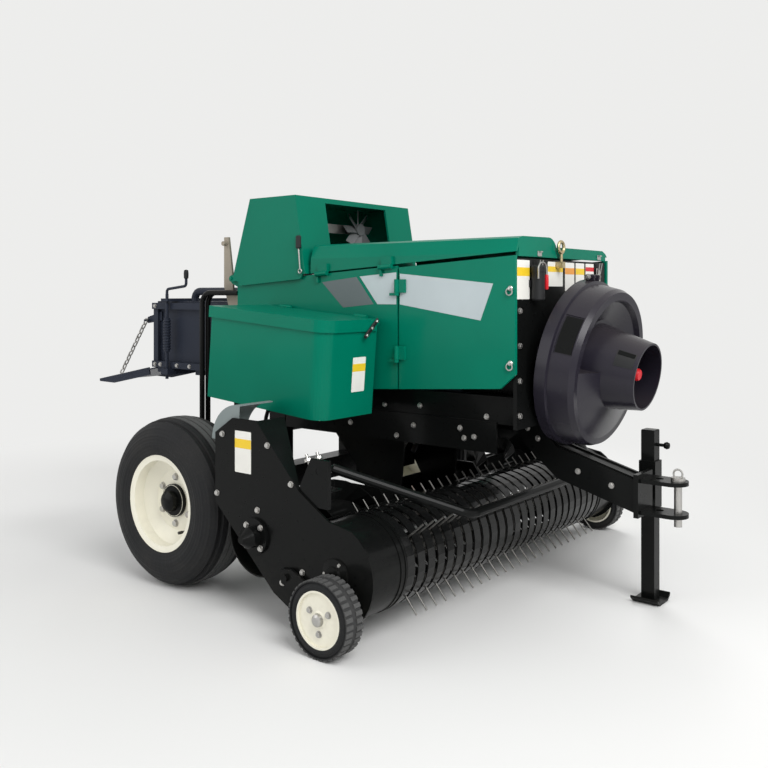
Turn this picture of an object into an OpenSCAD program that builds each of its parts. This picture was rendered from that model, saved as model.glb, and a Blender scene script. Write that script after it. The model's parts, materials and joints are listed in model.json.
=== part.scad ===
// In-line square baler: a low pickup in front of the axle lifts hay into a duct under the bale
// chamber, and the bale leaves over a chute at the back. X is forward, Y left, Z up, in millimetres.
// Sizes along X are taken from the main axle; place() then moves all to the middle of the machine.

/* [Wheels] */
// Main tyre diameter, which also sets the height of the axle
tyre_d = 750; // [740:5:770]
// Main tyre width
tyre_w = 272; // [260:2:280]
// Main rim flange diameter
rim_d = 430; // [410:2:450]
// Distance between the middle planes of the main tyres
track_w = 1810; // [1800:5:1850]
// Gauge tyre diameter
gauge_d = 286; // [276:2:296]
// Gauge tyre width
gauge_w = 92; // [80:2:96]

/* [Bale chamber] */
// Bale width inside the chamber
bale_w = 460; // [440:5:480]
// Bale height inside the chamber
bale_h = 350; // [340:5:365]
// Height of the chamber floor above the ground
floor_z = 895; // [890:5:905]
// Distance of the chamber's rear end behind the axle
chamber_rear = 1060; // [1000:10:1120]
// Thickness of the chamber's walls
wall_t = 8; // [6:1:10]

/* [Body] */
// Width across the side panels
body_w = 860; // [840:5:880]
// Distance of the front bulkhead's face in front of the axle
body_front = 1456; // [1440:4:1480]
// Height of the fold line of the side panels at the axle
fold_z = 1372; // [1366:2:1390]
// Rise of the fold line towards the front in degrees
fold_rise = 3.84; // [3.2:0.1:4.4]
// Height of the raised right top cover
cover_z = 1545; // [1535:5:1560]
// Height of the lower left top cover
low_cover_z = 1506; // [1500:2:1520]
// Thickness of panels, doors and covers
panel_t = 14; // [10:1:16]

/* [Knotter hood] */
// Height of the hood's top
hood_top_z = 1780; // [1760:5:1800]
// How far the hood stands out past each side panel
hood_over = 18; // [14:1:24]
// Wall thickness of the hood
hood_t = 10; // [8:1:12]
// Width of the window in the hood's front
window_w = 480; // [440:10:520]

/* [Twine boxes] */
// Length of a twine box
box_l = 700; // [660:10:720]
// Width of a twine box
box_w = 342; // [330:2:350]
// Height of a twine box with its lid
box_h = 420; // [400:5:430]
// Tilt of the boxes towards the front in degrees
box_tilt = 4.6; // [4:0.2:5.2]

/* [Pickup] */
// Width across the outsides of the pickup side plates
pickup_w = 2100; // [2080:5:2110]
// Width over which tines stand
tine_span = 1600; // [1560:10:1640]
// Number of stripper bands
band_n = 25; // [23:1:26]
// Radius of the stripper bands
band_r = 188; // [182:1:192]
// Radius of the circle that the tine tips run on
tine_r = 250; // [246:1:252]
// Thickness of a tine
tine_d = 7; // [6:0.5:8]
// Radius of the feed auger's flights
auger_r = 148; // [140:1:150]

/* [Drive] */
// Radius of the flywheel shield's drum
shield_r = 342; // [336:1:348]
// Nose-down tilt of the flywheel and the input shaft in degrees
drive_tilt = 9; // [8:0.5:10]
// Diameter of the input stub shaft
pto_d = 34.925; // [34.925, 44.45]

/* [Hitch] */
// Distance of the hitch pin in front of the axle
hitch_x = 1955; // [1930:5:1980]
// Height of the middle of the hitch clevis
hitch_z = 490; // [480:5:500]
// Diameter of the hitch pin
hitch_pin_d = 31; // [25:1:34]
// Width of the parking stand's leg
stand_w = 58; // [54:1:62]

/* [Bale chute] */
// Length of the bale chute
chute_l = 590; // [540:10:620]
// Downward slope of the chute in degrees
chute_slope = 11; // [9:0.5:13]

/* [Clearances] */
// Gap between a shaft and the bore that it turns in
run_gap = 0.3; // [0.25:0.05:0.4]
// Gap around doors, lids and other moving pieces
move_gap = 8; // [6:0.5:10]

/* [Hidden] */
$fn = 48;
far = 4000;
join = 1;
// steps in the arcs of corners, sheets, bands and links
round_n = 8;
sheet_n = 12;
band_arc_n = 20;
link_n = 10;
half_body = body_w / 2;
half_bale = bale_w / 2;
half_wall = half_bale + wall_t;
roof_z = floor_z + bale_h;
roof_top = roof_z + wall_t;

// wheels and axle
axle_z = tyre_d / 2;
beam_w = 110;
beam_gap = 70;
beam_half = (track_w - tyre_w) / 2 - beam_gap;
spindle_r = 30;
spindle_over = 60;
spindle_end = track_w / 2 + spindle_over;
bead_h = 16;
groove_h = 12;
rib_n = 2;
rib_share = 0.085;
rib_foot = 1.3;
crown_drop = 8;
bead_over = 10;
// how far each point of the sidewall lies under the crown, and its share of the half width
sidewall = [[112, 1], [74, 0.97], [40, 0.87], [17, 0.7]];
rim_w = 236;
rim_t = 9;
rim_lip = 6;
disc_y = 24;
disc_rise = 24;
disc_share = 0.62;
hub_r = 70;
hub_step = 12;
hub_front = 52;
hub_rear = -86;
gauge_x = 1081;
gauge_z = gauge_d / 2;
gauge_pin_r = 12;
gauge_rim_r = gauge_d * 0.365;
gauge_bead = 0.92;
gauge_face = gauge_w * 0.36;
gauge_rim_t = 8;
gauge_hub_r = 32;
gauge_cap_r = 26;
lug_n = 34;
lug_h = 5;
lug_share = 0.55;
lug_w = gauge_w * 0.36;
tread_share = 0.8;

// frame rails
rail_w = 60;
rail_top = floor_z - 16;
rail_bottom = floor_z - 132;
rail_rear = -200;
bulkhead_t = 16;
rail_front = body_front - bulkhead_t;
skirt_rear = 70;
skirt_front = 1300;
skirt_t = 8;
skirt_low = 640;
skirt_lap = 8;
cross_x = 1180;
cross_l = 80;
cross_top = rail_bottom + 70;

// bale chamber
chamber_front = 1080;
feed_rear = 330;
feed_front = 760;
floor_low = floor_z - wall_t;
floor_bar_l = 60;
floor_bar_h = 40;
floor_bar_step = 340;
side_low = floor_low - 8;
flange_out = 34;
flange_h = 36;
flange_end = -260;
post_l = 40;
post_out = 22;
post_step = 420;
top_rear = -300;
strip_w = 80;
strip_h = 10;
plunger_x = 820;
plunger_t = 60;
plunger_gap = 4;
crosshead_l = 160;
crosshead_w = 240;
crosshead_h = 180;
rib_rear_x = -130;
rib_front_x = 800;
rib_l = 30;
rib_low = floor_z + 60;
rib_drop = 30;

// tension frame behind, with its screws, springs and cranks
tension_x = 160 - chamber_rear;
tension_l = 60;
tension_t = 16;
tension_low = side_low - 34;
screw_y = half_wall + flange_out + 16;
screw_r = 9;
screw_over = 26;
spring_r = 20;
spring_wire = 5;
spring_n = 12;
spring_z = floor_z + 80;
spring_step = 16;
crank_d = 16;
crank_rise = 40;
crank_l = 170;
crank_grip = 80;
crank_bend = 18;
pipe_d = 44;
pipe_y = half_bale - strip_w / 2;
pipe_rear = -770;
pipe_front = -150;
pipe_rise = 56;
pipe_bend = 42;
guard_tube_d = 28;
tube_x = -432;
tube_top = 1312;
tube_low = 400;
tube_front = rib_rear_x - 20;
tube_bend = 60;
tube_gap = 39;

// tying parts
knot_h = (hood_top_z - roof_z) * 0.42;
knot_rear = -120;
knot_front = 120;
knot_in = 40;
knot_out = 150;
knot_shaft_r = 22;
knot_shaft_x = 20;
knot_shaft_z = roof_top + knot_h * 0.75;
knot_shaft_end = 360;
cam_r = knot_h * 0.5;
cam_t = 26;
cam_y = 200;
sprocket_r = knot_h * 0.42;
sprocket_t = 18;
bill_r = 16;
fan_top_gap = 10;
fan_x = 100;
fan_in = 208;
fan_y = half_body - fan_in;
fan_z = roof_z + (hood_top_z - roof_z) * 0.768;
fan_r = hood_top_z - hood_t - fan_z - fan_top_gap;
fan_shaft_r = 14;
fan_hub_r = 32;
fan_hub_l = 44;
fan_post_back = 50;
fan_post_x = fan_x - fan_post_back;
fan_post_l = 48;
fan_post_t = 12;
fan_blade_w = 46;
fan_blade_t = 6;
fan_blade_n = 8;
fan_pitch = 38;
knot_nose = 0.55;
knot_tail = 0.4;
trip_y = half_body - 84;
trip_t = 12;
trip_drop = 176;
trip_top = hood_top_z - trip_drop;
trip_x = -300;
trip_w = 34;
needle_x = -300;
needle_z = 560;
needle_top = 960;
needle_arm_w = 64;
needle_arm_t = 12;
needle_gap = 40;
needle_tube_r = 26;
needle_pin_r = 18;
needle_r = 250;
needle_d = 22;
needle_y = 95;
needle_to = 78;

// body shields
panel_rear = -150;
panel_low = 835;
panel_low_rear = 850;
door_low = 893;
door_step_x = 1392;
door_step_z = 928;
door_nose_z = 988;
shield_over = 6;
door_seam = 878;
door_gap = 10;
hinge_pin_r = 6;
hinge_r = 11;
hinge_l = 60;
hinge_up = 12;
leaf_t = 8;
leaf_gap = 7;
leaf_h = 40;
ear_w = 12;
cover_hinge_xs = [400, 780];
door_hinge_zs = [1010, 1300];
cover_rear_gap = 14;
cover_t = panel_t - 4;
cover_wall_t = 14;
seam_y = -76;
seam_left = -62;
hump_r = 74;
lean = 4;
lean_h = 101;
edge = 26;
slope = 60;
bulkhead_low = rail_bottom + 2;
bulkhead_top = 1452;
bulkhead_bore = 60;
eye_y = -72;
eye_x = 22;
eye_r = 24;
eye_wire = 7;
eye_block = 26;
eye_drop = 34;
eye_stem = 40;

// hood
hood_w = body_w + 2 * hood_over;
hood_rear = -172;
hood_front = 340;
hood_hinge_x = -178;
hood_hinge_z = fold_z + 12;
hood_pin_r = 8;
hood_lobe_r = 16;
hood_top_rear = -40;
hood_top_front = 272;
hood_nose_h = 40;
hood_back_low = hood_hinge_z + 40;
hood_back_y = trip_y - 24;
hood_nose = 8;
hood_lap = 16;
hood_floor = roof_z - 60;
hood_fold = fold_z + hood_front * tan(fold_rise);
window_top = hood_top_z - 25;
window_low = hood_fold + (hood_top_z - hood_fold) * 0.273;
hood_ear_front = hood_hinge_x + 38;
hood_ear_rear = hood_hinge_x - 18;
hood_ear_low = hood_hinge_z - 46;
hood_ear_mid = hood_hinge_z - 22;
hood_ear_top = hood_hinge_z + 20;

// drive
shield_x = 1548;
shield_z = 1014;
pto_r = pto_d / 2;
pto_l = 110;
shield_t = 8;
shield_back = 160;
neck_r = 215;
ring_over = 12;
ring_rear = -40;
ring_front = 8;
ring_edge = 4;
drum_l = 122;
drum_taper = 8;
crest = 22;
pocket_r = 196;
pocket_l = 58;
cone_r = 182;
mouth_r = 140;
mouth_l = 286;
fill_l = 34;
panel_cut = 4;
panel_from = 18;
panel_to = 96;
panel_a = 230;
panel_span = 29;
wheel_shaft_r = 30;
wheel_shaft_l = 240;
wheel_gap = 40;
wheel_rear = 20;
wheel_t = 50;
wheel_hub_r = 55;
wheel_hub_l = 60;
gearbox_x = 1130;
gearbox_half = 150;
gearbox_top = 1260;
gearbox_boss_r = 105;
gearbox_boss_h = 70;

// hitch
head_x = hitch_x - 155;
head_t = 20;
head_half = 75;
head_low = hitch_z - 85;
head_top = hitch_z + 90;
bar_half = 60;
bar_tall = 135;
knee_share = 1.15;
knee_x = 1300;
knee_z = 800;
elbow_x = 1450;
elbow_h = 164;
elbow_z = hitch_z + elbow_h;
bar_end_z = hitch_z + 66;
bar_strip_y = 34;
bar_strip_w = 14;
bar_strip_h = 6;
clevis_t = 16;
clevis_gap = 112;
nose_r = 60;
nose_back = 20;
hole_step = 75;
pin_play = 1;
pin_low = 110;
pin_l = 185;
pin_head_r = 28;
pin_head_h = 14;
stand_back = 183;
stand_x = hitch_x - stand_back;
stand_y = 172;
stand_gap = 0.3;
stand_top = 728;
sleeve_t = 7;
sleeve_low = hitch_z - 90;
sleeve_top = hitch_z + 110;
lug_l = 26;
lug_low = hitch_z - 50;
lug_top = hitch_z + 60;
foot_t = 10;
foot_l = 120;
foot_half = 70;
foot_curl = 24;
foot_up = 20;

// twine boxes
box_x = 52;
box_z = 835;
box_gap = 26;
box_in = half_body + box_gap;
box_t = 8;
box_round = 70;
lid_t = 22;
lid_lip = 10;
lip_t = 4;
lip_h = 30;
lid_hinge = 9;
lid_hinge_r = 8;
lid_hinge_up = 2;
lid_pin_r = 4;
lid_hinge_xs = [90, 560];
lid_leaf = 24;
lid_leaf_t = 5;
lid_leg = 110;
lid_leg_foot = 40;
box_arm_xs = [110, 520];
box_arm_w = 40;
box_arm_h = 12;
box_arm_out = 220;

// pickup
half_pickup = pickup_w / 2;
plate_t = 10;
plate_in = half_pickup - plate_t;
plate_rear = axle_z + 22;
plate_rear_low = 450;
plate_rear_top = 735;
plate_back_x = 500;
plate_top = 802;
plate_shoulder_x = 641;
plate_edge_x = 877;
plate_edge_z = 553;
plate_front_x = 1026;
plate_front_z = 462;
plate_toe_x = 840;
plate_toe_z = 90;
plate_heel_x = 740;
plate_heel_z = 140;
plate_rim = 14;
plate_fold = 150;
plate_fold_t = 6;
tab_t = 16;
tab_rear = 40;
tab_front = 50;
tab_up = 44;
pivot_x = 640;
pivot_z = 345;
bearing_r = 72;
bearing_h = 14;
boss_r = 42;
boss_h = 46;
tip_r = 14;
tip_h = 84;
band_x = 1040;
band_z = 268;
reel_x = band_x + 25;
reel_z = band_z + 4;
reel_shaft_r = 24;
reel_disc_t = 8;
reel_disc_over = 12;
tine_bar_r = 14;
bar_r = 130;
tine_bar_n = 4;
tine_turn = 50;
auger_shaft_r = 25;
auger_tube_r = 60;
auger_t = 8;
auger_slices = 20;
auger_gap = 20;
shaft_gap = 0.5;
collar_r = 60;
trough_r = auger_r + 12;
trough_t = 6;
trough_from = 172;
trough_to = 362;
trough_n = 24;
duct_t = 12;
collar_l = 170;
collar_end = half_bale + duct_t + collar_l;
ear_back = 30;
ear_y = collar_end - ear_back;
ear_t = 12;
ear_half = 100;
ear_top = 90;
duct_hip = 280;
duct_lip = 90;
duct_knee_x = 470;
duct_knee_z = 480;
duct_back = 260;
duct_sheet = 10;
duct_end_z = 420;
packer_x = 600;
packer_z = 700;
packer_r = 24;
packer_t = 16;
packer_ys = [-120, 0, 120];
finger = [[-40, 40], [40, 40], [20, -100], [-40, -200], [-60, -190], [-20, -90]];
band_pitch = tine_span / (band_n - 1);
tine_room = 14;
band_w = band_pitch - tine_d - tine_room;
band_t = 5;
band_up = 108;
band_low = -126;
tail_l = 196;
low_tail_l = 168;
band_bar = 20;
band_c = [band_x, band_z];
band_up_at = band_c + band_r * [cos(band_up), sin(band_up)];
band_up_in = band_c + (band_r - band_t) * [cos(band_up), sin(band_up)];
band_up_dir = [-sin(band_up), cos(band_up)];
band_low_at = band_c + band_r * [cos(band_low), sin(band_low)];
band_low_dir = [sin(band_low), -cos(band_low)];
band_seat = band_up_in + band_up_dir * (tail_l - band_bar) - [0, band_bar / 2];
drum_gap = 6;
drum_in = tine_span / 2 + band_w / 2 + drum_gap;
seam_over = 3;
seam_w = 10;
seam_step = 30;
guard_x = 968;
guard_z = 640;
guard_d = 38;
guard_pin_r = 12;
guard_in = 90;
guard_reach = 420;
guard_half = 560;
guard_drop = 28;
guard_bend = 90;
guard_start = 80;
deflect_x = 520;
deflect_z = 700;
deflect_r = 155;
deflect_t = 5;
deflect_w = 190;
deflect_from = 86;
deflect_to = 178;
arm_gap = 7;
arm_t = 12;
gauge_gap = 30;
gauge_y = half_pickup + gauge_gap + gauge_w / 2;
arm_in = half_pickup + arm_gap;
arm_out = arm_in + arm_t;
arm_x = 826;
arm_z = 220;
arm_boss_r = 24;
arm_nut_r = 14;
arm_root = 36;
arm_tip = 26;

// back
chute_gap = 14;
chute_x = -chamber_rear - chute_gap;
chute_z = floor_z - 20;
chute_t = 8;
chute_ear_r = 12;
chute_pin_r = 8;
chute_in = 6;
chute_neck = 20;
chute_pin_in = 90;
chute_pin_out = 180;
knuckle_gap = 4;
chute_rail_h = 38;
chute_rail_from = 80;
chute_rail_share = 0.75;
chute_rail_t = 8;
chain_out = 30;
chain_y = half_wall + chain_out;
chain_top_x = -1118;
chain_top_z = 1150;
chain_lean = 37;
chain_n = 12;
chain_pin_r = 6;
chain_pin_over = 14;
bracket_t = 10;
bracket_end = 14;
bracket_half = 18;
bracket_root = 60;
bracket_rise = 52;
link_t = 6;
link_w = 26;
link_p = 20;
link_lap = 0.4;
link_step = link_p + link_w - 2 * link_t + link_lap;
rear_reach = chamber_rear + chute_gap + chute_l * cos(chute_slope);
front_reach = hitch_x - nose_back + nose_r;
mid_x = (front_reach - rear_reach) / 2;

GREEN = [0.0, 0.34, 0.24];
BLACK = [0.03, 0.03, 0.035];
CREAM = [0.85, 0.84, 0.76];
SLATE = [0.2, 0.22, 0.27];
RUBBER = [0.05, 0.05, 0.05];
STEEL = [0.55, 0.55, 0.55];
PLASTIC = [0.2, 0.19, 0.24];
PALE = [0.6, 0.62, 0.62];
BRASS = [0.75, 0.6, 0.25];

function fold_at(x) = fold_z + x * tan(fold_rise);
function polar(r, a) = [r * cos(a), r * sin(a)];
function drum_r(s) = shield_r - drum_taper * (s - ring_front - ring_edge)
    / (drum_l - crest - ring_front - ring_edge);
function cone_at(s) = cone_r - (cone_r - mouth_r) * (s - pocket_l) / (mouth_l - pocket_l) - shield_t / 2;
function arc(c, r, from, to, n) = [for (i = [0 : n]) c + polar(r, from + (to - from) * i / n)];

// a plate drawn as [x, z] and running from y0 to y1
module side_plate(points, y0, y1) {
  translate([0, y1, 0]) rotate([90, 0, 0]) linear_extrude(y1 - y0) polygon(points);
}

// a section drawn as [y, z] and running from x0 to x1
module long_section(points, x0, x1) {
  translate([x0, 0, 0]) rotate([90, 0, 90]) linear_extrude(x1 - x0) polygon(points);
}

module box(x0, x1, y0, y1, z0, z1) {
  translate([x0, y0, z0]) cube([x1 - x0, y1 - y0, z1 - z0]);
}

module bar_x(r, l) {
  rotate([0, 90, 0]) cylinder(h = l, r = r);
}

module bar_y(x, z, r, y0, y1) {
  translate([x, y0, z]) rotate([-90, 0, 0]) cylinder(h = y1 - y0, r = r);
}

module both_sides() {
  children();
  mirror([0, 1, 0]) children();
}

module on_side(side) {
  if (side > 0) children();
  else mirror([0, 1, 0]) children();
}

// a hinge whose pin lies along X on a face at -Y: the fixed leaf is towards -Z, the moving one +Z
module hinge_fixed() {
  box(0, ear_w, -hinge_up - leaf_t, 0, -leaf_h, -leaf_gap);
  bar_x(hinge_r, ear_w);
  bar_x(hinge_pin_r, ear_w + hinge_l);
}

module hinge_moving() {
  l = hinge_l - 2 * join;
  translate([ear_w + join, 0, 0]) difference() {
    union() {
      bar_x(hinge_r, l);
      box(0, l, -hinge_up - leaf_t, 0, leaf_gap, leaf_h + 4 * join);
    }
    translate([-join, 0, 0]) bar_x(hinge_pin_r + run_gap, hinge_l);
  }
}

module at_cover_hinges() {
  for (x = cover_hinge_xs)
    translate([x, half_body + hinge_up, fold_at(x)]) rotate([0, -fold_rise, 0]) children();
}

module at_door_hinges() {
  for (z = door_hinge_zs)
    translate([door_seam, half_body + hinge_up, z]) rotate([0, -90, 0]) mirror([0, 0, 1]) children();
}

// turns a wheel's own axis, +Z, to the outside of the machine
module wheel_at(x, y, z, side) {
  translate([x, side * y, z]) rotate([-90 * side, 0, 0]) children();
}

// a tube of even thickness along a path in one plane
module bent_tube(path, d, sides = 12) {
  n = len(path);
  tangents = [for (i = [0 : n - 1]) let (v = path[min(i + 1, n - 1)] - path[max(i - 1, 0)]) v / norm(v)];
  rings = [for (i = [0 : n - 1], k = [0 : sides - 1])
    let (a = 360 * k / sides, c = d / 2 * cos(a))
    [path[i].x - tangents[i].y * c, path[i].y + tangents[i].x * c, d / 2 * sin(a)]];
  walls = [for (i = [0 : n - 2], k = [0 : sides - 1]) let (m = (k + 1) % sides)
    [i * sides + k, (i + 1) * sides + k, (i + 1) * sides + m, i * sides + m]];
  caps = [[for (k = [0 : sides - 1]) k], [for (k = [0 : sides - 1]) n * sides - 1 - k]];
  polyhedron(points = rings, faces = concat(walls, caps), convexity = 8);
}

// the same tube with its path drawn as [x, z] in the plane at y
module bent_bar(path, d, y) {
  translate([0, y, 0]) rotate([90, 0, 0]) bent_tube(path, d);
}

// rounds the corners of a path with arcs of radius r
function rounded(p, r, n = 5) = [for (i = [0 : len(p) - 1])
  each (i == 0 || i == len(p) - 1) ? [p[i]] :
    let (a = p[i - 1] - p[i], b = p[i + 1] - p[i], u = a / norm(a), w = b / norm(b),
      half = acos(u * w) / 2, t = r / tan(half), m = (u + w) / norm(u + w),
      c = p[i] + m * r / sin(half), s = p[i] + u * t - c, e = p[i] + w * t - c)
    [for (k = [0 : n]) let (q = s * (n - k) / n + e * k / n) c + q / norm(q) * r]];

// a toothed outline of n teeth whose tips fill the given share of the pitch
function teeth(n, low, high, share) = [for (i = [0 : n - 1]) let (a = 360 * i / n, h = 180 * share / n)
  each [polar(low, a - h - join), polar(high, a - h), polar(high, a + h), polar(low, a + h + join)]];

module place() {
  translate([-mid_x, 0, 0]) children();
}

// Running gear

module axle() color(BLACK) {
  box(-beam_w / 2, beam_w / 2, -beam_half, beam_half, axle_z - beam_w / 2, axle_z + beam_w / 2);
  bar_y(0, axle_z, spindle_r, -spindle_end, spindle_end);
  both_sides() box(-beam_w / 2, beam_w / 2, half_wall, half_wall + rail_w, axle_z, rail_bottom);
}

module frame_rails() color(BLACK) both_sides() {
  side = half_wall + rail_w;
  box(rail_rear, rail_front, half_wall, side, rail_bottom, rail_top);
  box(skirt_rear, skirt_front, side - join, side + skirt_t, skirt_low, rail_bottom + skirt_lap);
  box(cross_x, cross_x + cross_l, -join, half_wall + join, rail_bottom, cross_top);
}

module tyre() color(RUBBER) {
  bead_r = rim_d / 2 - bead_h;
  seat_r = rim_d / 2 + join;
  r = tyre_d / 2;
  w = tyre_w / 2;
  rib = w * rib_share;
  bead_y = join - rim_w / 2;
  edge_m = 2 * rib_n * rib_foot;
  crown = [for (i = [-rib_n : rib_n]) let (m = 2 * i * rib_foot, q = r - crown_drop * pow(m / edge_m, 2))
    each [[q - groove_h, (m - rib_foot) * rib], [q, (m - 1) * rib], [q, (m + 1) * rib],
      [q - groove_h, (m + rib_foot) * rib]]];
  side = concat([[bead_r, bead_y + rim_t], [seat_r, bead_y], [seat_r, bead_y - bead_over]],
    [for (p = sidewall) [r - p.x, -w * p.y]]);
  far_side = [for (i = [len(side) - 1 : -1 : 0]) [side[i].x, -side[i].y]];
  rotate_extrude() polygon(concat(side, crown, far_side));
}

module rim() color(CREAM) {
  r = rim_d / 2;
  well_r = r - bead_h - run_gap;
  in_r = well_r - rim_t;
  bore_r = spindle_r + run_gap;
  half = rim_w / 2;
  dish_r = r * disc_share;
  rotate_extrude() polygon([[in_r, -half], [r, -half - rim_lip], [r, -half], [well_r, rim_t - half],
    [well_r, half - rim_t], [r, half], [r, half + rim_lip], [in_r, half], [in_r,
        disc_y + disc_rise + 2 * rim_t],
    [dish_r, disc_y + rim_t], [hub_r, disc_y + rim_t], [hub_r, hub_front], [bore_r, hub_front], [bore_r,
        hub_rear],
    [hub_r - hub_step, hub_rear], [hub_r - hub_step, disc_y], [dish_r, disc_y], [in_r,
        disc_y + disc_rise]]);
}

module gauge_tyre() color(RUBBER) {
  r = gauge_d / 2;
  low = r - lug_h;
  w = gauge_w / 2;
  bead = w * gauge_bead;
  tread = w * tread_share;
  rotate_extrude() polygon([[gauge_rim_r, -bead], [r * tread_share, -w], [low, -tread], [low, tread],
    [r * tread_share, w], [gauge_rim_r, bead]]);
  for (k = [0, 1]) rotate([0, 180 * k, 180 * k / lug_n]) translate([0, 0, w - lug_w - lug_h / 2])
    linear_extrude(lug_w) difference() {
      polygon(teeth(lug_n, low, r, lug_share));
      circle(r = low - lug_h);
    }
}

module gauge_rim() color(CREAM) {
  w = gauge_w / 2;
  bore_r = gauge_pin_r + run_gap;
  out_r = gauge_rim_r - run_gap;
  in_r = gauge_rim_r - gauge_rim_t;
  bead = w * gauge_bead;
  hub = w * tread_share;
  back = gauge_face - rim_t;
  rotate_extrude() polygon([[bore_r, -hub], [gauge_hub_r, -hub], [gauge_hub_r, back], [in_r, back],
      [in_r, -bead],
    [out_r, -bead], [out_r, bead], [in_r, bead], [in_r, gauge_face], [gauge_hub_r, gauge_face],
        [gauge_cap_r, hub],
    [bore_r, hub]]);
}

module gauge_arms() color(BLACK) both_sides() {
  side_plate([[arm_x - arm_root, arm_z + arm_tip], [arm_x + arm_tip, arm_z + arm_root],
    [gauge_x + arm_tip, gauge_z], [gauge_x, gauge_z - arm_tip], [gauge_x - arm_tip, gauge_z - arm_tip / 2],
    [arm_x - arm_tip, arm_z - arm_tip]], arm_in, arm_out);
  bar_y(gauge_x, gauge_z, gauge_pin_r, arm_out - join, gauge_y + gauge_w / 2);
  bar_y(arm_x, arm_z, arm_boss_r, half_pickup, arm_in + join);
  bar_y(arm_x, arm_z, arm_nut_r, arm_out - join, arm_out + arm_t);
}

// Bale chamber

module chamber_floor() color(SLATE) {
  box(-chamber_rear, feed_rear, -half_bale, half_bale, floor_low, floor_z);
  box(feed_front, chamber_front, -half_bale, half_bale, floor_low, floor_z);
  for (i = [0 : 2]) let (x = i * floor_bar_step - chamber_rear)
    box(x, x + floor_bar_l, -half_bale, half_bale, floor_low - floor_bar_h, floor_low + join);
  both_sides() {
    box(chute_x - chute_ear_r, join - chamber_rear, chute_pin_out, chute_pin_out + ear_w,
        chute_z - chute_ear_r,
      chute_z + chute_ear_r);
    bar_y(chute_x, chute_z, chute_pin_r, chute_pin_in, chute_pin_out + join);
  }
}

module chamber_side() color(SLATE) {
  box(-chamber_rear, chamber_front, half_bale, half_wall, side_low, roof_top);
  for (z = [side_low, roof_top - flange_h])
    box(-chamber_rear, flange_end, half_wall - join, half_wall + flange_out, z, z + flange_h);
  for (i = [0, 1]) let (x = i * post_step - chamber_rear)
    box(x, x + post_l, half_wall - join, half_wall + post_out, floor_z, roof_z - join);
  side_plate([[chain_top_x - bracket_end, chain_top_z - bracket_half], [chain_top_x - bracket_end,
      chain_top_z + bracket_half],
    [bracket_root - chamber_rear, chain_top_z + bracket_rise], [bracket_root - chamber_rear, chain_top_z]],
    half_wall - join, half_wall + bracket_t);
  bar_y(chain_top_x, chain_top_z, chain_pin_r, half_wall + bracket_t - join, chain_y + chain_pin_over);
}

module chamber_top() color(SLATE) {
  box(top_rear, chamber_front, -half_bale, half_bale, roof_z, roof_top);
  for (y = [-half_bale, -strip_w / 2, half_bale - strip_w])
    box(-chamber_rear, top_rear + join, y, y + strip_w, roof_z, roof_top + strip_h);
}

module plunger_head() color(SLATE) {
  back = plunger_x + plunger_t;
  middle = floor_z + bale_h / 2;
  half = half_bale - plunger_gap;
  box(plunger_x, back, -half, half, floor_z, roof_z - plunger_gap);
  box(back - join, back + crosshead_l, -crosshead_w / 2, crosshead_w / 2, middle - crosshead_h / 2,
    middle + crosshead_h / 2);
}

module body_ribs() color(BLACK) both_sides() {
  for (x = [rib_rear_x, rib_front_x])
    box(x, x + rib_l, half_wall, half_body - panel_t, rib_low, fold_at(rib_rear_x) - rib_drop);
}

// two beams across the chamber, drawn together by a spring-loaded screw with a crank on each side
module tension_frame() color(SLATE) {
  top = roof_top + strip_h;
  half = screw_y + spring_r;
  rear = tension_x - tension_l / 2;
  box(rear, rear + tension_l, -half, half, tension_low, side_low);
  box(rear, rear + tension_l, -half, half, top, top + tension_t);
  both_sides() translate([tension_x, screw_y, 0]) {
    translate([0, 0, tension_low - screw_over])
        cylinder(h = top + tension_t + 2 * screw_over - tension_low, r = screw_r);
    translate([0, 0, spring_z]) {
      cylinder(h = spring_n * spring_step, r = spring_r - spring_wire / 2);
      for (i = [1 : spring_n - 1]) translate([0, 0, i * spring_step])
        rotate_extrude() translate([spring_r - spring_wire / 2, 0]) circle(r = spring_wire, $fn = 16);
    }
    start = top + tension_t + screw_over / 2;
    bent_bar(rounded([[0, start], [0, start + crank_rise], [crank_l, start + crank_rise + crank_bend],
      [crank_l, start + crank_rise + crank_grip]], crank_bend), crank_d, 0);
  }
}

module top_pipe() color(SLATE) {
  z = roof_top + strip_h;
  bent_bar(rounded([[pipe_rear, z + run_gap], [pipe_rear, z + pipe_rise], [pipe_front, z + pipe_rise]],
      pipe_bend), pipe_d, -pipe_y);
}

module needle_yoke() color(BLACK) {
  arm_y = half_wall + needle_gap;
  half = needle_arm_w / 2;
  both_sides() {
    side_plate([[needle_x - half, needle_top + half], [needle_x + half, needle_top + half],
      [needle_x + half, needle_z - half], [needle_x - half, needle_z - half]], arm_y, arm_y + needle_arm_t);
    bar_y(needle_x, needle_top, needle_pin_r, half_wall, arm_y + join);
    bent_bar(arc([needle_x + needle_r, needle_z], needle_r, 180, needle_to, sheet_n), needle_d, needle_y);
  }
  bar_y(needle_x, needle_z, needle_tube_r, -arm_y - join, arm_y + join);
}

module guard_tubes() color(BLACK) for (y = [half_body - panel_t / 2, half_body - panel_t / 2 - tube_gap])
  bent_bar(rounded([[tube_front, tube_top], [tube_x, tube_top], [tube_x, tube_low], [-beam_w / 2,
      tube_low]], tube_bend),
    guard_tube_d, -y);

// Body shields

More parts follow.
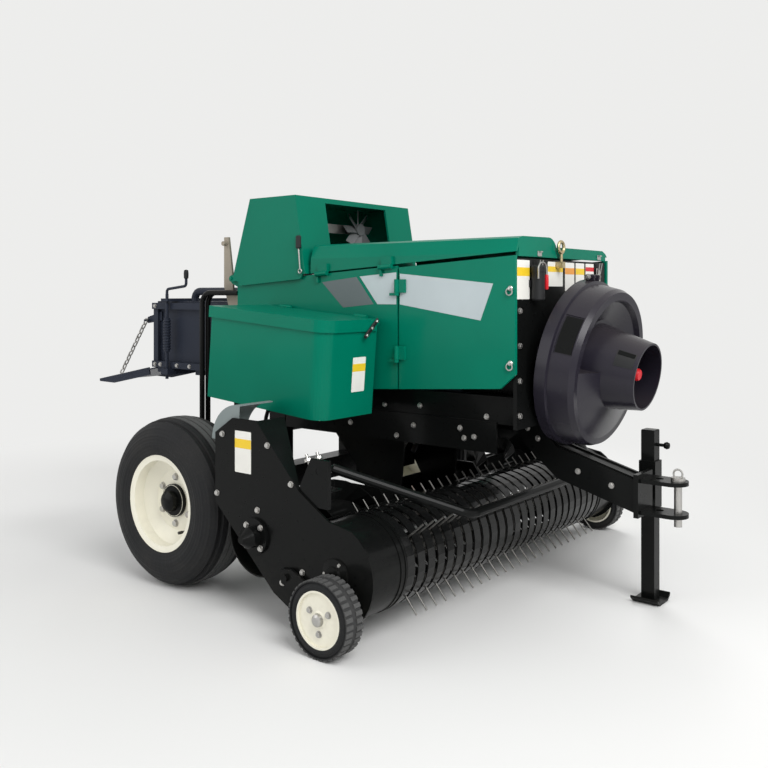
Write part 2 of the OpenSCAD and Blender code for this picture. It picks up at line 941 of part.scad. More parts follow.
module side_panel() color(GREEN) {
  front = door_seam - door_gap / 2;
  y0 = half_body - panel_t;
  side_plate([[panel_rear, panel_low_rear], [0, panel_low], [front, door_low], [front, fold_at(front)],
    [panel_rear, fold_at(panel_rear)]], y0, half_body);
  at_door_hinges() hinge_fixed();
  at_cover_hinges() hinge_fixed();
  side_plate([[hood_ear_front, hood_ear_low], [hood_ear_rear, hood_ear_mid], [hood_ear_rear, hood_ear_top],
    [hood_ear_front, hood_ear_top]], y0, half_body);
  bar_y(hood_hinge_x, hood_hinge_z, hood_pin_r, y0, hood_w / 2 + shield_over);
}

module side_door() color(GREEN) {
  rear = door_seam + door_gap / 2;
  front = body_front + shield_over;
  side_plate([[rear, door_low], [door_step_x, door_step_z], [front, door_nose_z], [front,
      fold_at(front) - move_gap],
    [rear, fold_at(rear) - move_gap]], half_body - panel_t, half_body);
  at_door_hinges() hinge_moving();
}

// a cover drawn as a closed section with a wall across its front, cut off along the fold line
module cover(points, wall) {
  front = body_front + shield_over;
  difference() {
    long_section(points, hood_front + cover_rear_gap, front);
    translate([0, 0, fold_z + move_gap]) rotate([0, -fold_rise, 0])
      translate([-far / 2, -far / 2, -far]) cube([far, far, far]);
  }
  long_section(wall, front - cover_wall_t, front);
}

module top_cover_right() color(GREEN) {
  t = cover_t;
  e = half_body;
  z = cover_z;
  low = bulkhead_top + move_gap;
  hump = [seam_y - hump_r, z - hump_r];
  outer = concat([[-e, fold_z], [lean - e, fold_z + lean_h], [edge - e, z - edge / 2], [slope - e,
      z - lean]],
    arc(hump, hump_r, 90, 0, round_n), [[seam_y, low]]);
  inner = concat([[seam_y - t, low]], arc(hump, hump_r - t, 0, 90, round_n), [[slope - e, z - lean - t],
    [edge + t - e, z - edge / 2 - t], [lean + t - e, fold_z + lean_h], [t - e, fold_z]]);
  cover(concat(outer, inner), concat([[edge + join - e, low], [edge + join - e, z - edge / 2],
      [slope - e, z - lean]],
    arc(hump, hump_r, 90, 0, round_n), [[seam_y, low]]));
  on_side(-1) at_cover_hinges() hinge_moving();
}

module top_cover_left() color(GREEN) {
  t = cover_t;
  e = half_body;
  z = low_cover_z;
  low = bulkhead_top + move_gap;
  outer = [[e, fold_z], [e - lean, fold_z + lean_h], [e - edge, z - edge / 2], [e - slope, z],
      [seam_left, z],
    [seam_left, low]];
  inner = [[seam_left + t, low], [seam_left + t, z - t], [e - slope, z - t], [e - edge - t,
      z - edge / 2 - t],
    [e - lean - t, fold_z + lean_h], [e - t, fold_z]];
  cover(concat(outer, inner), [[e - edge - join, low], [e - edge - join, z - edge / 2], [e - slope, z],
      [seam_left, z],
    [seam_left, low]]);
  at_cover_hinges() hinge_moving();
}

module front_bulkhead() color(BLACK) {
  half = half_body - panel_t - move_gap;
  difference() {
    box(rail_front, body_front, -half, half, bulkhead_low, bulkhead_top);
    drive_axis() translate([0, 0, -far / 2]) cylinder(h = far, r = bulkhead_bore);
  }
}

module lifting_eye() color(BRASS) {
  z = bulkhead_top - eye_drop;
  half = eye_block / 2;
  box(body_front, body_front + eye_x + half, eye_y - half, eye_y + half, z, z + eye_block);
  translate([body_front + eye_x, eye_y, z + eye_block - join]) {
    cylinder(h = eye_stem, r = eye_wire);
    translate([0, 0, eye_stem + eye_r - join]) rotate([90, 0, 90]) rotate_extrude() translate([eye_r,
        0]) circle(r = eye_wire);
  }
}

module knotter_hood() color(GREEN) {
  w = hood_w / 2;
  nose_z = fold_at(hood_front) + hood_nose_h;
  lap_rear = hood_ear_front + move_gap;
  lap_front = hood_front - 2 * hood_t;
  outer = [[hood_rear, fold_at(hood_rear) + move_gap], [lap_rear, fold_at(lap_rear) + move_gap],
    [lap_rear + hood_lap, fold_at(lap_rear) - hood_lap], [lap_front - hood_lap,
        fold_at(lap_front) - hood_lap],
    [lap_front, fold_at(lap_front) + move_gap], [hood_front, fold_at(hood_front) + move_gap],
    [hood_front - hood_nose, nose_z], [hood_top_front, hood_top_z], [hood_top_rear, hood_top_z]];
  inner = [[hood_rear - far, hood_floor], [hood_front - hood_t, hood_floor],
      [hood_front - hood_nose - hood_t, nose_z],
    [hood_top_front - hood_t, hood_top_z - hood_t], [hood_rear - far, hood_top_z - hood_t]];
  rise = (hood_back_low - outer[0].y) / (hood_top_z - outer[0].y);
  back_x = hood_rear + rise * (hood_top_rear - hood_rear);
  side_plate([[back_x, hood_back_low], [back_x + hood_t, hood_back_low], [hood_top_rear + hood_t,
      hood_top_z - join],
    [hood_top_rear, hood_top_z - join]], -hood_back_y, w - join);
  difference() {
    union() {
      side_plate(outer, -w, w);
      bar_y(hood_hinge_x, hood_hinge_z, hood_lobe_r, -w, w);
    }
    side_plate(inner, hood_t - w, w - hood_t);
    box(0, far, -window_w / 2, window_w / 2, window_low, window_top);
    bar_y(hood_hinge_x, hood_hinge_z, hood_pin_r + run_gap, -far, far);
  }
}

// Tying

module knotter_stack() color(STEEL) {
  top = roof_top + knot_h;
  both_sides() {
    side_plate([[knot_rear, roof_top], [knot_front, roof_top], [knot_front, roof_top + knot_h * knot_nose],
      [knot_shaft_x + 2 * knot_shaft_r, top], [knot_shaft_x - 2 * knot_shaft_r, top], [knot_rear,
      roof_top + knot_h * knot_tail]],
      knot_in, knot_out);
    bar_y(knot_shaft_x, knot_shaft_z, cam_r, cam_y, cam_y + cam_t);
    bar_y(knot_rear - bill_r / 2, roof_top + knot_h / 4, bill_r, knot_in + bill_r, knot_out - bill_r);
    translate([knot_rear, (knot_in + knot_out) / 2, roof_top]) cylinder(h = knot_h / 3, r = 2 * bill_r);
  }
  bar_y(knot_shaft_x, knot_shaft_z, knot_shaft_r, -knot_shaft_end, knot_shaft_end);
  bar_y(knot_shaft_x, knot_shaft_z, sprocket_r, -knot_shaft_end, sprocket_t - knot_shaft_end);
  difference() {
    union() {
      box(fan_post_x, fan_post_x + fan_post_t, -fan_post_l / 2, fan_post_l / 2, roof_top,
      fan_z + fan_post_l / 2);
      box(fan_post_x, fan_post_x + fan_post_t, 0, fan_y + fan_post_l / 2, fan_z - fan_post_l / 2,
      fan_z + fan_post_l / 2);
    }
    translate([0, fan_y, fan_z]) bar_x(fan_shaft_r + run_gap, far);
  }
}

module knotter_fan() color(BLACK) translate([fan_x, fan_y, fan_z]) {
  back = fan_post_x - fan_x;
  translate([back, 0, 0]) bar_x(fan_shaft_r, fan_hub_l / 2 - back);
  translate([-fan_hub_l / 2, 0, 0]) bar_x(fan_hub_r, fan_hub_l);
  for (i = [0 : fan_blade_n - 1]) rotate([i * 360 / fan_blade_n, 0, 0]) rotate([0, 0, fan_pitch])
    translate([-fan_blade_t / 2, -fan_blade_w / 2, fan_shaft_r]) cube([fan_blade_t, fan_blade_w,
        fan_r - fan_shaft_r]);
}

// the arm that starts the knotters
module trip_arm() color(BRASS) {
  z = tube_top;
  side_plate([[rib_rear_x, z - 2 * trip_w], [rib_rear_x, z - trip_w], [trip_x + trip_w, z],
      [trip_x + trip_w, z + 2 * trip_w],
    [trip_x, trip_top], [trip_x - trip_w, trip_top], [trip_x - trip_w, z + trip_w], [trip_x,
        z - 2 * trip_w]],
    -trip_y - trip_t, -trip_y);
  bar_y(trip_x - trip_w / 2, trip_top - trip_w, trip_t, -trip_y - 3 * trip_t, -trip_y - trip_t + join);
}

// Drive

module drive_axis() {
  translate([shield_x, 0, shield_z]) rotate([0, 90 + drive_tilt, 0]) children();
}

module main_gearbox() color(BLACK) {
  middle = (gearbox_x + rail_front) / 2;
  difference() {
    union() {
      box(gearbox_x, rail_front, -gearbox_half, gearbox_half, cross_top, gearbox_top);
      translate([middle, 0, gearbox_top - join]) cylinder(h = gearbox_boss_h, r = gearbox_boss_r);
    }
    drive_axis() translate([0, 0, -wheel_shaft_l - wheel_rear]) cylinder(h = far,
        r = wheel_shaft_r + run_gap);
  }
}

module flywheel() color(BLACK) drive_axis() {
  front = wheel_t - wheel_rear;
  translate([0, 0, -wheel_shaft_l]) cylinder(h = wheel_shaft_l, r = wheel_shaft_r);
  translate([0, 0, -wheel_rear]) cylinder(h = wheel_t, r = shield_r - wheel_gap);
  translate([0, 0, front - join]) cylinder(h = wheel_hub_l, r = wheel_hub_r);
  translate([0, 0, front + wheel_hub_l - 2 * join]) cylinder(h = pto_l, r = pto_r);
}

// the drum has a raised crest over an open pocket above, and a plain cone below
module flywheel_shield() color(PLASTIC) {
  t = shield_t;
  r = shield_r;
  ring = r + ring_over;
  tip = r - drum_taper;
  in_tip = tip - 2 * crest;
  difference() {
    drive_axis() {
      rotate_extrude() polygon([[neck_r, -shield_back], [neck_r, ring_rear - t], [r, ring_rear - t],
      [ring, ring_rear], [ring, ring_front],
        [r, ring_front + ring_edge], [tip, drum_l - crest], [tip - crest / 2, drum_l], [in_tip, drum_l],
        [in_tip - crest / 2, drum_l - crest], [pocket_r, pocket_l], [cone_r, pocket_l], [mouth_r, mouth_l],
        [mouth_r - t, mouth_l], [cone_r - t, pocket_l - t], [pocket_r, pocket_l - t],
        [in_tip - crest / 2 + t, drum_l - crest - t], [in_tip, drum_l - t], [tip - crest / 2, drum_l - t],
        [tip - t, drum_l - crest - t], [r - t, ring_front], [r - t, ring_rear], [neck_r - t, ring_rear],
        [neck_r - t, -shield_back]]);
      intersection() {
        rotate_extrude() polygon([[in_tip + crest / 2, drum_l - join], [in_tip - crest / 2 + join,
        drum_l - crest],
          [pocket_r, pocket_l - join], [cone_at(pocket_l), pocket_l], [cone_at(drum_l + fill_l),
          drum_l + fill_l]]);
        translate([0, -far / 2, -far / 2]) cube(far);
      }
    }
    box(0, body_front, -far, far, 0, far);
    drive_axis() rotate([0, 0, panel_a]) rotate_extrude(angle = panel_span)
      polygon([[drum_r(panel_from) - panel_cut, panel_from], [far, panel_from], [far, panel_to],
        [drum_r(panel_to) - panel_cut, panel_to]]);
  }
}

// Hitch

module drawbar() color(BLACK) {
  start = cross_x + cross_l;
  top = [[start, cross_top], [knee_x, knee_z], [elbow_x, elbow_z], [head_x, bar_end_z]];
  low = [[head_x, bar_end_z - bar_tall], [elbow_x, elbow_z - bar_tall], [knee_x,
      knee_z - bar_tall * knee_share],
    [start, cross_top - bar_tall]];
  strip = [for (p = top) p + [0, bar_strip_h]];
  side_plate(concat(top, low), -bar_half, bar_half);
  both_sides() side_plate(concat([top[1] - [0, join], top[2] - [0, join], top[3] - [0, join]], [strip[3],
      strip[2], strip[1]]),
    bar_strip_y, bar_strip_y + bar_strip_w);
}

module hitch_clevis() color(BLACK) difference() {
  union() {
    box(head_x, head_x + head_t, -head_half, head_half, head_low, head_top);
    for (z = [hitch_z + clevis_gap / 2, hitch_z - clevis_gap / 2 - clevis_t]) {
      box(head_x + head_t - join, hitch_x - nose_back, -nose_r, nose_r, z, z + clevis_t);
      translate([hitch_x - nose_back, 0, z]) cylinder(h = clevis_t, r = nose_r);
    }
  }
  for (x = [hitch_x, hitch_x - hole_step]) translate([x, 0, 0]) cylinder(h = far,
      r = hitch_pin_d / 2 + pin_play);
}

module hitch_pin() color(STEEL) translate([hitch_x, 0, hitch_z]) {
  head = clevis_gap / 2 + clevis_t;
  translate([0, 0, -pin_low]) cylinder(h = pin_l, r = hitch_pin_d / 2);
  translate([0, 0, head]) cylinder(h = pin_head_h, r = pin_head_r);
}

module stand_sleeve() color(BLACK) {
  i = stand_w / 2 + stand_gap;
  o = stand_w / 2 + sleeve_t;
  difference() {
    union() {
      box(stand_x - o, stand_x + o, stand_y - o, stand_y + o, sleeve_low, sleeve_top);
      box(stand_x - lug_l, stand_x + lug_l, bar_half, stand_y - o + join, lug_low, lug_top);
    }
    box(stand_x - i, stand_x + i, stand_y - i, stand_y + i, 0, far);
  }
}

module stand_leg() color(BLACK) {
  o = stand_w / 2;
  box(stand_x - o, stand_x + o, stand_y - o, stand_y + o, foot_t - join, stand_top);
  long_section([[stand_y - foot_half, foot_up], [stand_y - foot_half + foot_curl, 0],
      [stand_y + foot_half - foot_curl, 0],
    [stand_y + foot_half, foot_up], [stand_y + foot_half, foot_up + foot_t],
        [stand_y + foot_half - foot_curl, foot_t],
    [stand_y - foot_half + foot_curl, foot_t], [stand_y - foot_half, foot_up + foot_t]],
        stand_x - foot_l / 2, stand_x + foot_l / 2);
}

// Twine boxes

module box_frame() {
  translate([box_x, 0, box_z]) rotate([0, box_tilt, 0]) children();
}

// a box's outline from above, grown outwards, with its inner edge moved back
function box_plan(grow, back) = concat([[-grow, box_in - back], [-grow, box_in + box_w + grow]],
  arc([box_l - box_round, box_in + box_w - box_round], box_round + grow, 90, 0, round_n), [[box_l + grow,
      box_in - back]]);

module twine_box() color(GREEN) box_frame() {
  difference() {
    linear_extrude(box_h - lid_t - move_gap) polygon(box_plan(0, 0));
    translate([0, 0, box_t]) linear_extrude(box_h) polygon(box_plan(-box_t, -box_t));
  }
  for (x = box_arm_xs) box(x, x + box_arm_w, half_wall + rail_w, box_in + box_arm_out, -box_arm_h, join);
  for (x = lid_hinge_xs) translate([x, box_in - lid_hinge, box_h + lid_hinge_up]) {
    box(0, ear_w, -lid_hinge_r, lid_hinge + join, -lid_leg, lid_leg_foot - lid_leg);
    box(0, ear_w, -lid_hinge_r, 0, -lid_leg, 0);
    bar_x(lid_hinge_r, ear_w);
    bar_x(lid_pin_r, ear_w + hinge_l);
  }
}

module twine_lid() color(GREEN) box_frame() {
  l = hinge_l - 2 * join;
  translate([0, 0, box_h - lid_t]) linear_extrude(lid_t) polygon(box_plan(lid_lip, 0));
  translate([0, 0, box_h - lid_t - lip_h]) linear_extrude(lip_h + join) difference() {
    polygon(box_plan(lid_lip, -lid_lip));
    polygon(box_plan(lid_lip - lip_t, 0));
  }
  for (x = lid_hinge_xs) translate([x + ear_w + join, box_in - lid_hinge,
      box_h + lid_hinge_up]) difference() {
    union() {
      bar_x(lid_hinge_r, l);
      box(0, l, 0, lid_hinge + lid_leaf, -lid_leaf_t, lid_hinge_up);
    }
    translate([-join, 0, 0]) bar_x(lid_pin_r + run_gap, hinge_l);
  }
}

// Feed

module feed_duct() color(BLACK) {
  back = [[feed_rear, floor_low], [feed_rear, floor_z - duct_back], [duct_knee_x, duct_knee_z],
      [duct_knee_x, duct_end_z]];
  both_sides() {
    side_plate([[feed_rear, floor_z], [feed_front, floor_z], [feed_front, floor_z - duct_hip],
        [pivot_x + duct_lip, pivot_z],
      [pivot_x, pivot_z - duct_lip], [pivot_x - duct_lip, pivot_z], [duct_knee_x, duct_knee_z],
      [feed_rear, floor_z - duct_back]], half_bale - duct_t, half_bale);
    bar_y(pivot_x, pivot_z, collar_r, half_bale - join, collar_end);
  }
  side_plate(concat(back, [for (i = [len(back) - 1 : -1 : 0]) back[i] + [duct_sheet, 0]]), -half_bale,
      half_bale);
}

module packer_fork() color(STEEL) {
  bar_y(packer_x, packer_z, packer_r, duct_t - half_bale, half_bale - duct_t);
  for (y = packer_ys) side_plate([for (p = finger) p + [packer_x, packer_z]], y - packer_t / 2,
      y + packer_t / 2);
}

// Pickup

module pickup_plates() color(BLACK) both_sides() {
  bend = [plate_edge_x - plate_shoulder_x, plate_edge_z - plate_top];
  difference() {
    union() {
      side_plate(concat([[plate_rear, plate_rear_top], [plate_back_x, plate_top], [plate_shoulder_x,
      plate_top],
        [plate_edge_x, plate_edge_z], [plate_front_x, plate_front_z]],
        arc(band_c, band_r + plate_rim, 60, -70, sheet_n),
        [[plate_toe_x, plate_toe_z], [plate_heel_x, plate_heel_z], [plate_rear, plate_rear_low]]),
        plate_in, half_pickup);
      side_plate([[plate_edge_x - tab_rear, plate_edge_z - tab_front], [guard_x - tab_rear,
      guard_z + tab_up],
        [guard_x + tab_front, guard_z + tab_up], [guard_x + tab_front, plate_edge_z - tab_front]],
        plate_in - tab_t, plate_in + join);
      translate([plate_shoulder_x, plate_in + join, plate_top]) rotate([0, atan2(-bend.y, bend.x), 0])
        translate([0, 0, -plate_fold_t]) linear_extrude(plate_fold_t) polygon([[0, 0], [norm(bend), 0],
        [0, -plate_fold]]);
      translate([pivot_x, half_pickup - join, pivot_z]) rotate([-90, 0, 0]) rotate_extrude()
        polygon([[0, 0], [bearing_r, 0], [bearing_r, bearing_h], [boss_r, bearing_h], [boss_r, boss_h],
        [tip_r, tip_h], [0, tip_h]]);
    }
    bar_y(pivot_x, pivot_z, auger_shaft_r + run_gap, 0, half_pickup);
    bar_y(reel_x, reel_z, reel_shaft_r + run_gap, 0, far);
    bar_y(guard_x, guard_z, guard_pin_r + run_gap, 0, far);
  }
}

module pickup_trough() color(BLACK) {
  p = [pivot_x, pivot_z];
  lip_x = pivot_x + trough_r;
  side_plate(concat(arc(p, trough_r, trough_from, trough_to, trough_n), arc(p, trough_r + trough_t,
      trough_to, trough_from, trough_n)),
    -plate_in, plate_in);
  box(lip_x, lip_x + trough_t - join, -plate_in, plate_in, pivot_z, band_seat.y - join);
  both_sides() difference() {
    side_plate(concat(arc(p, trough_r + join, trough_from, trough_to, trough_n), [[pivot_x + ear_half,
        pivot_z + ear_top],
      [pivot_x - ear_half, pivot_z + ear_top]]), ear_y, ear_y + ear_t);
    bar_y(pivot_x, pivot_z, collar_r + run_gap, 0, far);
  }
}

module stripper_bands() color(BLACK) {
  outer = concat([band_low_at + band_low_dir * low_tail_l], arc(band_c, band_r, band_low, band_up,
      band_arc_n),
    [band_up_at + band_up_dir * tail_l]);
  r = band_r - band_t;
  low_in = band_c + polar(r, band_low);
  inner = concat([band_up_in + band_up_dir * tail_l], arc(band_c, r, band_up, band_low, band_arc_n),
      [low_in + band_low_dir * low_tail_l]);
  for (i = [0 : band_n - 1]) let (y = (i - (band_n - 1) / 2) * band_pitch)
    side_plate(concat(outer, inner), y - band_w / 2, y + band_w / 2);
  low_bar = low_in + band_low_dir * (low_tail_l - band_bar);
  for (p = [band_seat, low_bar - [0, band_bar / 2]])
    box(p.x - band_bar, p.x, -plate_in, plate_in, p.y, p.y + band_bar / 2 + 2 * join);
}

module end_drums() color(BLACK) both_sides() difference() {
  union() {
    bar_y(band_x, band_z, band_r, drum_in, plate_in);
    for (i = [0, 1]) let (y = drum_in + i * seam_step) bar_y(band_x, band_z, band_r + seam_over, y,
        y + seam_w);
  }
  bar_y(reel_x, reel_z, reel_shaft_r + run_gap, 0, far);
}

// a curved sheet and its end web on the inside of each side plate, in front of the main tyre
module crop_deflectors() color(PALE) both_sides() {
  c = [deflect_x, deflect_z];
  outer = arc(c, deflect_r, deflect_from, deflect_to, sheet_n);
  side_plate(concat(outer, arc(c, deflect_r - deflect_t, deflect_to, deflect_from, sheet_n)),
      plate_in - deflect_w, plate_in - join);
  side_plate(concat(outer, [c]), plate_in - deflect_t, plate_in);
}

module tine_reel() color(STEEL) {
  half = tine_span / 2;
  bar_y(reel_x, reel_z, reel_shaft_r, -half_pickup, half_pickup);
  translate([reel_x, 0, reel_z]) {
    for (y = [-half, 0, half]) translate([0, y, 0]) rotate([90, 0, 0])
      cylinder(h = reel_disc_t, r = bar_r + reel_disc_over, center = true);
    for (k = [0 : tine_bar_n - 1]) rotate([0, k * 360 / tine_bar_n + tine_turn, 0]) {
      bar_y(bar_r, 0, tine_bar_r, -half, half);
      for (i = [0 : band_n - 2]) let (y = (i + 0.5 - (band_n - 1) / 2) * band_pitch)
        translate([bar_r, y, 0]) rotate([0, 90, 0]) cylinder(h = tine_r - bar_r, d = tine_d);
    }
  }
}

// a stub shaft on each side plate; the collars on the duct carry the pickup alone
module auger_shaft() color(BLACK) both_sides() {
  end = half_pickup - shaft_gap;
  bar_y(pivot_x, pivot_z, auger_shaft_r, collar_end + auger_gap, end);
}

module auger_flights() color(BLACK) both_sides() {
  l = plate_in - collar_end - 2 * auger_gap;
  translate([pivot_x, collar_end + auger_gap, pivot_z]) rotate([-90, 0, 0]) difference() {
    union() {
      cylinder(h = l, r = auger_tube_r);
      for (a = [0, 180]) rotate([0, 0, a]) linear_extrude(l, twist = 360, slices = auger_slices, $fn = 4)
        translate([auger_tube_r - auger_t, -auger_t / 2]) square([auger_r - auger_tube_r + auger_t,
        auger_t]);
    }
    translate([0, 0, -join]) cylinder(h = l + 2 * join, r = auger_shaft_r);
  }
}

module wind_guard() color(BLACK) {
  both_sides() bar_y(guard_x, guard_z, guard_pin_r, plate_in - guard_in, plate_in);
  side = plate_in - guard_start;
  translate([guard_x, 0, guard_z]) rotate([0, guard_drop, 0])
    bent_tube(rounded([[0, -side], [guard_reach, -guard_half], [guard_reach, guard_half], [0, side]],
        guard_bend), guard_d);
}

// Back

module bale_chute() color(SLATE) translate([chute_x, 0, chute_z]) rotate([0, -chute_slope, 0]) {
  half = half_bale - chute_in;
  in = chute_pin_in + knuckle_gap + 2 * join;
  out = chute_pin_out - knuckle_gap;
  difference() {
    union() {
      box(-chute_l, -chute_neck, -half, half, -chute_t, 0);
      both_sides() box(-chute_neck - join, 0, in, out, -chute_t, 0);
      both_sides() bar_y(0, 0, chute_ear_r, in, out);
    }
    bar_y(0, 0, chute_pin_r + run_gap, -far, far);
  }
  both_sides() side_plate([[-chute_rail_from, chute_t], [-chute_rail_from, -chute_rail_h],
    [-chute_l * chute_rail_share, -chute_rail_h], [-chute_l, -chute_t], [-chute_l, chute_t]],
        half - chute_rail_t, half);
}

// one flat link of a chain, lying along Z from the middle of one eye to the next
module chain_link() {
  in = link_w / 2 - link_t;
  rotate([90, 0, 0]) translate([0, 0, -link_t / 2]) linear_extrude(link_t) difference() {
    polygon(concat(arc([0, 0], link_w / 2, 180, 360, link_n), arc([0, link_p], link_w / 2, 0, 180,
        link_n)));
    polygon(concat(arc([0, 0], in, 180, 360, link_n), arc([0, link_p], in, 0, 180, link_n)));
  }
}

module chute_chains() color(STEEL) both_sides()
  translate([chain_top_x, chain_y, chain_top_z]) rotate([0, 180 + chain_lean, 0])
    for (i = [0 : chain_n - 1]) translate([0, 0, i * link_step]) rotate([0, 0, i % 2 * 90]) chain_link();

place() axle();
place() frame_rails();
place() chamber_floor();
place() on_side(-1) chamber_side();  // chamber_side_right
place() on_side(1) chamber_side();  // chamber_side_left
place() chamber_top();
place() plunger_head();
place() body_ribs();
place() drawbar();
place() hitch_clevis();
place() hitch_pin();
place() stand_sleeve();
place() stand_leg();
place() front_bulkhead();
place() lifting_eye();
place() main_gearbox();
place() flywheel();
place() flywheel_shield();
place() on_side(-1) side_panel();  // side_panel_right
place() on_side(1) side_panel();  // side_panel_left
place() on_side(-1) side_door();  // side_door_right
place() on_side(1) side_door();  // side_door_left
place() top_cover_right();
place() top_cover_left();
place() knotter_hood();
place() knotter_stack();
place() knotter_fan();
place() trip_arm();
place() on_side(-1) twine_box();  // twine_box_right
place() on_side(1) twine_box();  // twine_box_left
place() on_side(-1) twine_lid();  // twine_lid_right
place() on_side(1) twine_lid();  // twine_lid_left
place() tension_frame();
place() top_pipe();
place() needle_yoke();
place() guard_tubes();
place() feed_duct();
place() packer_fork();
place() pickup_plates();
place() pickup_trough();
place() stripper_bands();
place() end_drums();
place() crop_deflectors();
place() tine_reel();
place() auger_shaft();
place() auger_flights();
place() wind_guard();
place() gauge_arms();
place() wheel_at(gauge_x, gauge_y, gauge_z,  // gauge_tyre_right
    -1) gauge_tyre();
place() wheel_at(gauge_x, gauge_y, gauge_z, 1) gauge_tyre();  // gauge_tyre_left
place() wheel_at(gauge_x, gauge_y, gauge_z, -1) gauge_rim();  // gauge_rim_right
place() wheel_at(gauge_x, gauge_y, gauge_z, 1) gauge_rim();  // gauge_rim_left
place() wheel_at(0, track_w / 2, axle_z, -1) tyre();  // tyre_right
place() wheel_at(0, track_w / 2, axle_z, 1) tyre();  // tyre_left
place() wheel_at(0, track_w / 2, axle_z, -1) rim();  // rim_right
place() wheel_at(0, track_w / 2, axle_z, 1) rim();  // rim_left
place() bale_chute();
place() chute_chains();
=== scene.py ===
"""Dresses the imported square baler: paint, fittings, blank plates and a pale studio around it."""

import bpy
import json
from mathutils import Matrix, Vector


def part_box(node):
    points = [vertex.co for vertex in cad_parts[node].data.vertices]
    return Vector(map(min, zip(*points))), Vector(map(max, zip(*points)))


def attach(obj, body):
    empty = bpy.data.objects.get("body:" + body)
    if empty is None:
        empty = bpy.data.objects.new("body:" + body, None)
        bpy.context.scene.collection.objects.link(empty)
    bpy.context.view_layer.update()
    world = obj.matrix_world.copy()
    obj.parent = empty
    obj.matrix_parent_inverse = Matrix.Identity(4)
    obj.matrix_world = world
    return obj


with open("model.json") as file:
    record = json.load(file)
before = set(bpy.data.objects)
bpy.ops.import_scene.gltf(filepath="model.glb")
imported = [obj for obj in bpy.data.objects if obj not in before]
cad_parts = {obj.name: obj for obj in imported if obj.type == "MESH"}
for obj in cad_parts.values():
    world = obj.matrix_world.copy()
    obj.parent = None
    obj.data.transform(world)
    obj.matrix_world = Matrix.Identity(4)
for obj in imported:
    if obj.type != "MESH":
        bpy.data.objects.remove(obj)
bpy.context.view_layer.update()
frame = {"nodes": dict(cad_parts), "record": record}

import json
import math
from contextlib import contextmanager

import bmesh
import bpy
from mathutils import Matrix, Vector

bl_info = {
    "name": "Square baler finish",
    "version": (1, 0, 0),
    "blender": (4, 5, 0),
    "location": "View3D > Sidebar > Baler",
    "description": "Paint, fittings and stage for a packed square baler",
    "category": "Object",
}

SIDES = {"right": -1, "left": 1}
FULL_TURN = 2 * math.pi
X = Vector((1, 0, 0))
Y = Vector((0, 1, 0))
Z = Vector((0, 0, 1))


def middle(node):
    low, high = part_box(node)
    return (Vector(low) + Vector(high)) / 2


# Faces that the fittings sit on. Lengths are in metres, and forward means from the main axle.
HINGE_REACH = 0.023
PLATE_THICKNESS = 0.010
AXLE = middle("tyre_right").x
BODY_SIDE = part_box("side_door_left")[1][1] - HINGE_REACH
HOOD_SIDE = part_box("knotter_hood")[1][1]
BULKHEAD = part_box("front_bulkhead")[1][0] - AXLE
COVER_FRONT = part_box("top_cover_right")[1][0] - AXLE
PLATE_SIDE = -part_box("end_drums")[0][1] + PLATE_THICKNESS
SKIRT_SIDE = 0.306
RAIL_SIDE = 0.298
CHAMBER_SIDE = 0.272
DRAWBAR_SIDE = 0.06


def at(forward, y, z):
    """A point given from the main axle."""
    return Vector((forward + AXLE, y, z))


def beside(place, y):
    """A point given as (forward, height), and its distance to the left."""
    forward, height = place
    return at(forward, y, height)


def colour_property(name, description, colour):
    return bpy.props.FloatVectorProperty(name=name, description=description, default=colour, size=3,
                                         min=0.0, max=1.0, subtype="COLOR")


def number_property(name, description, number, **settings):
    return bpy.props.FloatProperty(name=name, description=description, default=number, **settings)


def length_property(name, description, length):
    return number_property(name, description, length, min=0.0, unit="LENGTH")


def share_property(name, description, share):
    return number_property(name, description, share, min=0.0, max=1.0, subtype="FACTOR")


class BalerColours(bpy.types.PropertyGroup):
    """Colours of the paints, plastics and metals"""

    green: colour_property("Green", "Paint of the shields, the hood and the twine boxes", (0.0, 0.165, 0.101))
    black: colour_property("Black", "Paint of the running gear and the pickup", (0.005, 0.0054, 0.0053))
    band: colour_property("Band", "Polished paint of the stripper bands", (0.007, 0.0074, 0.0074))
    slate: colour_property("Slate", "Paint of the bale chamber and the chute", (0.024, 0.029, 0.044))
    cream: colour_property("Cream", "Paint of the rims", (0.86, 0.83, 0.7))
    rubber: colour_property("Rubber", "Tyres, straps and grips", (0.01, 0.0105, 0.0115))
    # The tread's grey is partly wear and partly a painted highlight: it has the brightness of rubber in full
    # sunlight.
    tread: colour_property("Tread", "Worn rubber on the treads", (0.13, 0.13, 0.128))
    zinc: colour_property("Zinc", "Plated pins, chains, bolts and latches", (0.52, 0.51, 0.49))
    brass: colour_property("Yellow zinc", "Lifting eye", (0.56, 0.47, 0.28))
    cast: colour_property("Cast iron", "Trip arm behind the hood", (0.34, 0.3, 0.24))
    spring: colour_property("Spring steel", "Tines and their bars", (0.2, 0.195, 0.185))
    rust: colour_property("Rust", "Traces of rust on plated steel", (0.16, 0.07, 0.03))
    fan: colour_property("Fan grey", "Cleaning fan in the hood", (0.16, 0.165, 0.17))
    plastic: colour_property("Plastic", "Flywheel shield", (0.017, 0.015, 0.023))
    pale: colour_property("Pale plastic", "Crop deflectors", (0.2, 0.235, 0.235))
    silver: colour_property("Silver", "Light bands on the sides", (0.45, 0.51, 0.53))
    grey: colour_property("Grey", "Dark band on the sides", (0.1, 0.125, 0.13))
    white: colour_property("White", "Blank plates", (0.82, 0.81, 0.76))
    yellow: colour_property("Yellow", "Stripes of the blank plates", (0.85, 0.58, 0.03))
    orange: colour_property("Orange", "Stripe of one blank plate", (0.8, 0.33, 0.06))
    red: colour_property("Red", "Cap of the input stub, bail's sleeve and one stripe", (0.6, 0.012, 0.02))
    dust: colour_property("Dust", "Soil on low and level faces", (0.22, 0.19, 0.15))


